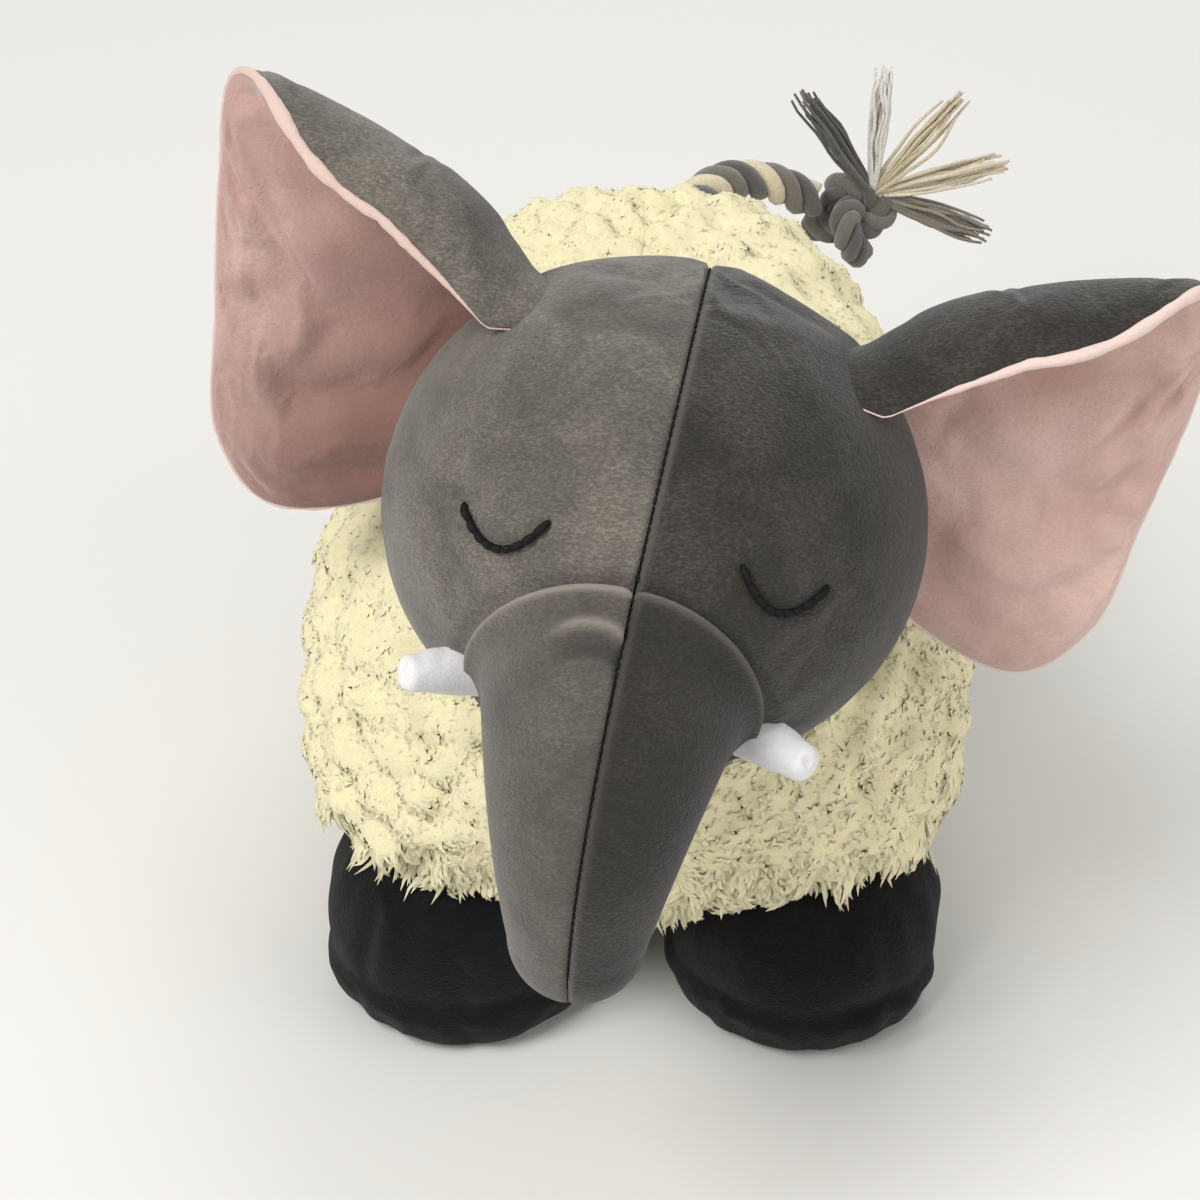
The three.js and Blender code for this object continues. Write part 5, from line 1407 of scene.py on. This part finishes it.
TUSK_RADII = (7.9, 5.0)
TUSK_LENGTH = 17  # from the cheek
TUSK_SIDE = 40
TUSK_LEVEL = -33
TUSK_OUTWARD = 55  # degrees to the side
TUSK_RISE = 6  # degrees upwards
TUSK_SUNK = 6
TUSK_END = 3.0  # rounding of the closed end
TUSK_GRID = (64, 56)
TUSK_DIMPLE = (1.3, 1.7)  # depth and width of the pucker in the closed end
TUSK_DIMPLE_AT = (1.5, 2.4)  # off the middle of the end
TUSK_SEAM = (0.035, 1.3 * math.pi, 0.22)  # depth as a share of the radius, place and width in radians
TUSK_LUMPS = (0.25, 6)  # height and size
FELT_WHITE = "#efeeee"

# Pressed polyester felt: dead white and matt, with matted fibres of 0.05 mm drawn at 0.9 mm.
white_felt, tree, shader = start_material("pressed_white_felt", Roughness=0.95, Sheen_Weight=0.4)
place = add_node(tree, "ShaderNodeTexCoord").outputs["Object"]
mat = add_node(tree, "ShaderNodeTexNoise", {"Vector": place, "Scale": cells(0.9), "Detail": 5.0,
                                            "Distortion": 1.0})
tint = add_node(tree, "ShaderNodeMixRGB", {"Fac": mat.outputs["Fac"], "Color1": colour("#e1dfe0"),
                                           "Color2": colour(FELT_WHITE)})
rough = add_node(tree, "ShaderNodeBump", {"Height": mat.outputs["Fac"], "Strength": 0.5, "Distance": 0.0005})
finish_material(tree, shader, tint, rough)

outward, rise = math.radians(TUSK_OUTWARD), math.radians(TUSK_RISE)
rows, columns = TUSK_GRID
for name, side in (("left", 1), ("right", -1)):
    level = math.cos(rise) * np.array([side * math.sin(outward), -math.cos(outward)])
    ahead = np.array([*level, math.sin(rise)])
    first = unit(np.cross(ahead, [0, 0, 1]))
    second = np.cross(first, ahead)
    straight = TUSK_LENGTH + TUSK_SUNK - TUSK_END
    tip = arc((TUSK_RADII[1] - TUSK_END, straight), (TUSK_END, TUSK_END), 90, 8, 20)
    flare = np.linspace(0, 1, 30)[:-1]
    stem = np.stack([np.interp(flare, (0, 1), TUSK_RADII), flare * straight], axis=-1)
    crown = [(1e-6, straight + TUSK_END + 0.3)]
    profile = np.concatenate([[(1e-6, 0)], along_profile(np.concatenate([stem, tip, crown]), rows - 1)])
    profile[-1, 0] = 1e-6
    turn = 2 * math.pi * np.arange(columns) / columns
    depth, seam, width = TUSK_SEAM
    radius = profile[:, :1] * (1 - depth * np.exp(-(((turn - seam) / width) ** 2)))
    points = radius[..., None] * (np.cos(turn)[:, None] * first + np.sin(turn)[:, None] * second)
    points = points + profile[:, 1:, None] * ahead
    dimple = ahead * (straight + TUSK_END) + first * TUSK_DIMPLE_AT[0] + second * TUSK_DIMPLE_AT[1]
    gap = np.linalg.norm(points - dimple, axis=-1, keepdims=True)
    depth, width = TUSK_DIMPLE
    points = points - unit(dimple - ahead * straight) * depth * np.exp(-((gap / width) ** 2))
    root = np.array([side * TUSK_SIDE, face_front(np.array(TUSK_SIDE), np.array(TUSK_LEVEL)), TUSK_LEVEL])
    points = points + root - ahead * TUSK_SUNK
    points = points + TUSK_LUMPS[0] * lumps(points, TUSK_LUMPS[1], 107)[..., None] * second
    quads = grid_quads(rows, columns, around=True)
    tusk = add_piece(f"tusk_felt_{name}", from_head(points), [quads], white_felt)
    weld(tusk)
    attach(tusk, "head")
    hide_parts(f"tusk_{name}")

# Ears: a grey plush back and a dusty pink velour lining, sewn round the rim over thin wadding, turned and
# sewn to the head by the root. The upper edge is rolled forward, so the back shows in front as a band.

EAR_REACH = 93
EAR_RISE = 80
EAR_DROP = 63
EAR_MIDDLE = 37  # root to the middle of the ear
EAR_CLOTH = 1.8
EAR_FILL = 3
EAR_CURL_RADIUS = 16
EAR_CURL_WIDTH = 38
EAR_CURL_PEAK = 38  # root to the highest point of the roll's crease
EAR_CURL_DIP = 8
EAR_CURL_FALL = 0.14
EAR_DISH = 5
EAR_LEAN = 22  # degrees
EAR_SWEEP = 10
EAR_STEPS = 67
EAR_CROWD = 1.3  # power that draws the rings to the rim
EAR_PLUMP = 0.25  # power of the pillow's section: the smaller, the fuller towards the rim
EAR_EDGE = 14  # power by which the rim closes: the larger, the sharper
EAR_WALL = 0.6  # share of the cloth's thickness that its knitted ground takes up
EAR_WAD = (0.6, 0.75)  # the wadding's thickness and reach, shares of its room
EAR_SWELL = 2.0
EAR_BEAD = (1.7, 0.7)  # radius of the lining's rolled rim along the upper edge and elsewhere
EAR_ROOT = 8 / 9  # share of the way round at which the outline goes into the head
EAR_BEAD_STEPS = 160
EAR_BEAD_SIDES = 10
EAR_BEAD_GROWS = 20  # past the crease, over how much the bead swells to its full radius
EAR_BEAD_BUMPS = ((0.2, 14), (0.12, 5))  # heights as shares of the radius, and sizes
EAR_BEAD_HIGHLIGHT = 0.7  # painted highlight on the bead, where its fibres also stand on end
EAR_BEAD_END = (134, 148)  # steps at which the bead starts to thin out towards the root and is thin
EAR_PAINTED_SHADES = {"left": 0.25, "right": 0.9}  # strength of the painted shade on each lining towards the root
EAR_PAINTED_SHADE_RUN = (12, 68)  # from the root, where the painted shade is strongest and where it ends
EAR_HELD = (0.94, 12)  # share of the way to the rim, and from the root, where seams hold the cloth
EAR_PUFFS = ((30, 1.9), (15, 0.9))  # size and height of the lining's lumps
# Painted shade: the colour that each lining darkens to towards the root.
LINING_PAINTED_SHADE = "#7a594f"
# Painted light and shade: the left lining is a lit copy and the right lining a shaded copy of one pink
# velour.
LINING_PINKS_LIT_AND_SHADED = {"left": ("#c7a499", "#d9b9ae", "#efd9d0"), "right": ("#b18e84", "#c6a499", "#e4cabf")}
EAR_OUTLINE = np.array([  # shares of the reach, and of the rise above the root or the drop below it
    (-0.15, -0.25), (0.26, -1), (0.5, -0.86), (0.69, -0.36), (0.9, 0.2), (1, 0.53), (0.67, 0.95),
    (0.25, 1.05), (-0.17, 0.76),
])

pink_velour = {side: short_pile(f"dusty_pink_velour_{side}", *pinks, nap=30, sheen=0.4, flecks=0.4,
                               painted_shade=LINING_PAINTED_SHADE) for side, pinks in LINING_PINKS_LIT_AND_SHADED.items()}
outline = EAR_OUTLINE * [EAR_REACH, 1]
outline[:, 1] *= np.where(outline[:, 1] > 0, EAR_RISE, EAR_DROP)


def turn_about(axis, degrees):
    """The matrix of a turn about X, Y or Z."""
    c, s = math.cos(math.radians(degrees)), math.sin(math.radians(degrees))
    a, b = [(1, 2), (2, 0), (0, 1)][axis]
    made = np.eye(3)
    made[a, a] = made[b, b] = c
    made[a, b], made[b, a] = -s, s
    return made


def ear_surface(rim, share, height, side):
    """A point of an ear in its own frame, by its share of the way to the rim and its height off the middle
    of the cloth. Above the crease the cloth rolls forward round a bar, and the whole ear is dished."""
    outwards = EAR_MIDDLE + (rim[..., 0] - EAR_MIDDLE) * share
    along = rim[..., 1] * share
    beyond = outwards - EAR_CURL_PEAK
    crease = EAR_RISE - EAR_CURL_WIDTH - EAR_CURL_FALL * np.maximum(0, beyond)
    crease = crease - EAR_CURL_DIP * np.clip(-beyond / EAR_CURL_PEAK, 0, 1) ** 2
    roll = np.maximum(0, along - crease) / EAR_CURL_RADIUS
    up = np.minimum(along, crease) + (EAR_CURL_RADIUS - height) * np.sin(roll)
    front = EAR_CURL_RADIUS - (EAR_CURL_RADIUS - height) * np.cos(roll)
    return np.stack([side * outwards, EAR_DISH * (1 - share**2) - front, up], axis=-1)


a, b, share = disc_grid(EAR_STEPS)
start = math.atan2(outline[0, 1], outline[0, 0] - EAR_MIDDLE)
rim = smooth_curve(outline, ((np.arctan2(b, a) - start) / (2 * math.pi)) % 1, closed=True)
share = 1 - (1 - share) ** EAR_CROWD
plump = SEAT / 2 + (EAR_FILL / 2 + SEAT) * (1 - share**2) ** EAR_PLUMP + EAR_CLOTH
edge = (1 - share**EAR_EDGE) ** 0.5
flat = np.stack([a * EAR_REACH * 0.6, b * EAR_RISE, 0 * a], axis=-1)
bead_rim = smooth_curve(outline, np.linspace(0, EAR_ROOT, EAR_BEAD_STEPS), closed=True)
for name, side, seed in (("left", 1, 131), ("right", -1, 149)):
    ear_axes = head_axes @ turn_about(1, -side * EAR_LEAN) @ turn_about(2, side * EAR_SWEEP)
    root = pivot(f"ear_flap_{name}")
    puff = sum(height * (1 + lumps(flat, size, seed + size)) for size, height in EAR_PUFFS) * (1 - share**6)
    inside = ear_surface(rim, share, 0, side).reshape(-1, 3)
    from_root = EAR_MIDDLE + (rim[..., 0] - EAR_MIDDLE) * share
    held = (share > EAR_HELD[0]) | (from_root < EAR_HELD[1])
    ear_pieces = []
    for piece_name, height, material, node, slot in (
        ("ear_velour", plump * edge + puff, pink_velour[name], "ear_lining", "pink_velour"),
        ("ear_plush", -plump * edge, grey_plush[name], "ear_back", "grey_plush"),
    ):
        points = ear_surface(rim, share, height, side).reshape(-1, 3)
        quads = grid_quads(EAR_STEPS, EAR_STEPS)
        quads = face_out(points, quads, inside[quads[:, 0]])
        layer = add_piece(f"{piece_name}_{name}", root + points @ ear_axes.T, [quads], material)
        # Painted shade on the lining, darkest next to the root.
        painted_shade = np.interp(from_root, EAR_PAINTED_SHADE_RUN, (EAR_PAINTED_SHADES[name], 0)) * (slot == "pink_velour")
        paint(layer, "shade", painted_shade)
        stuff(layer, held.ravel(), EAR_SWELL, pressure=2.0, slack=0.03)
        thicken(layer, EAR_CLOTH * EAR_WALL, levels=1)
        ear_pieces.append((layer, node, slot))
    lining = ear_pieces[0][0]
    settle(lining)
    path = root + ear_surface(bead_rim, 1.0, 0, side) @ ear_axes.T
    rolled = np.clip((bead_rim[:, 1] - EAR_RISE + EAR_CURL_WIDTH) / EAR_BEAD_GROWS, 0, 1)
    bumps = 1 + sum(height * lumps(path, size, seed + k) for k, (height, size) in enumerate(EAR_BEAD_BUMPS))
    thin = np.interp(np.arange(len(path)), EAR_BEAD_END, (1, 0.15))
    radii = (np.interp(rolled, (0, 1), EAR_BEAD[::-1]) * bumps * thin)[None]
    points, faces = tubes(path[None], radii, EAR_BEAD_SIDES, ear_axes[:, 1])
    bead = add_piece(f"ear_bead_{name}", points, faces, pink_velour[name])
    # Painted highlight along the rolled rim.
    paint(bead, "rim", np.full(len(bead.data.vertices), EAR_BEAD_HIGHLIGHT))
    join(lining, bead)

    thickness, reach = EAR_WAD
    wad_height = thickness * EAR_FILL / 2 * (1 - share**2) ** EAR_PLUMP
    points = np.stack([ear_surface(rim, share * reach, sign * wad_height, side) for sign in (1, -1)])
    quads = grid_quads(EAR_STEPS, EAR_STEPS, count=2)
    wad = add_piece(f"ear_wad_{name}", root + points @ ear_axes.T, [quads], fibre_fill)
    weld(wad)
    ear_pieces.append((wad, "ear_wadding", "fibre_fill"))
    for piece, node, slot in ear_pieces:
        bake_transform(piece)
        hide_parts(f"{node}_{name}")

# Bounds of the dressed toy as the render shows it.
low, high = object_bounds()
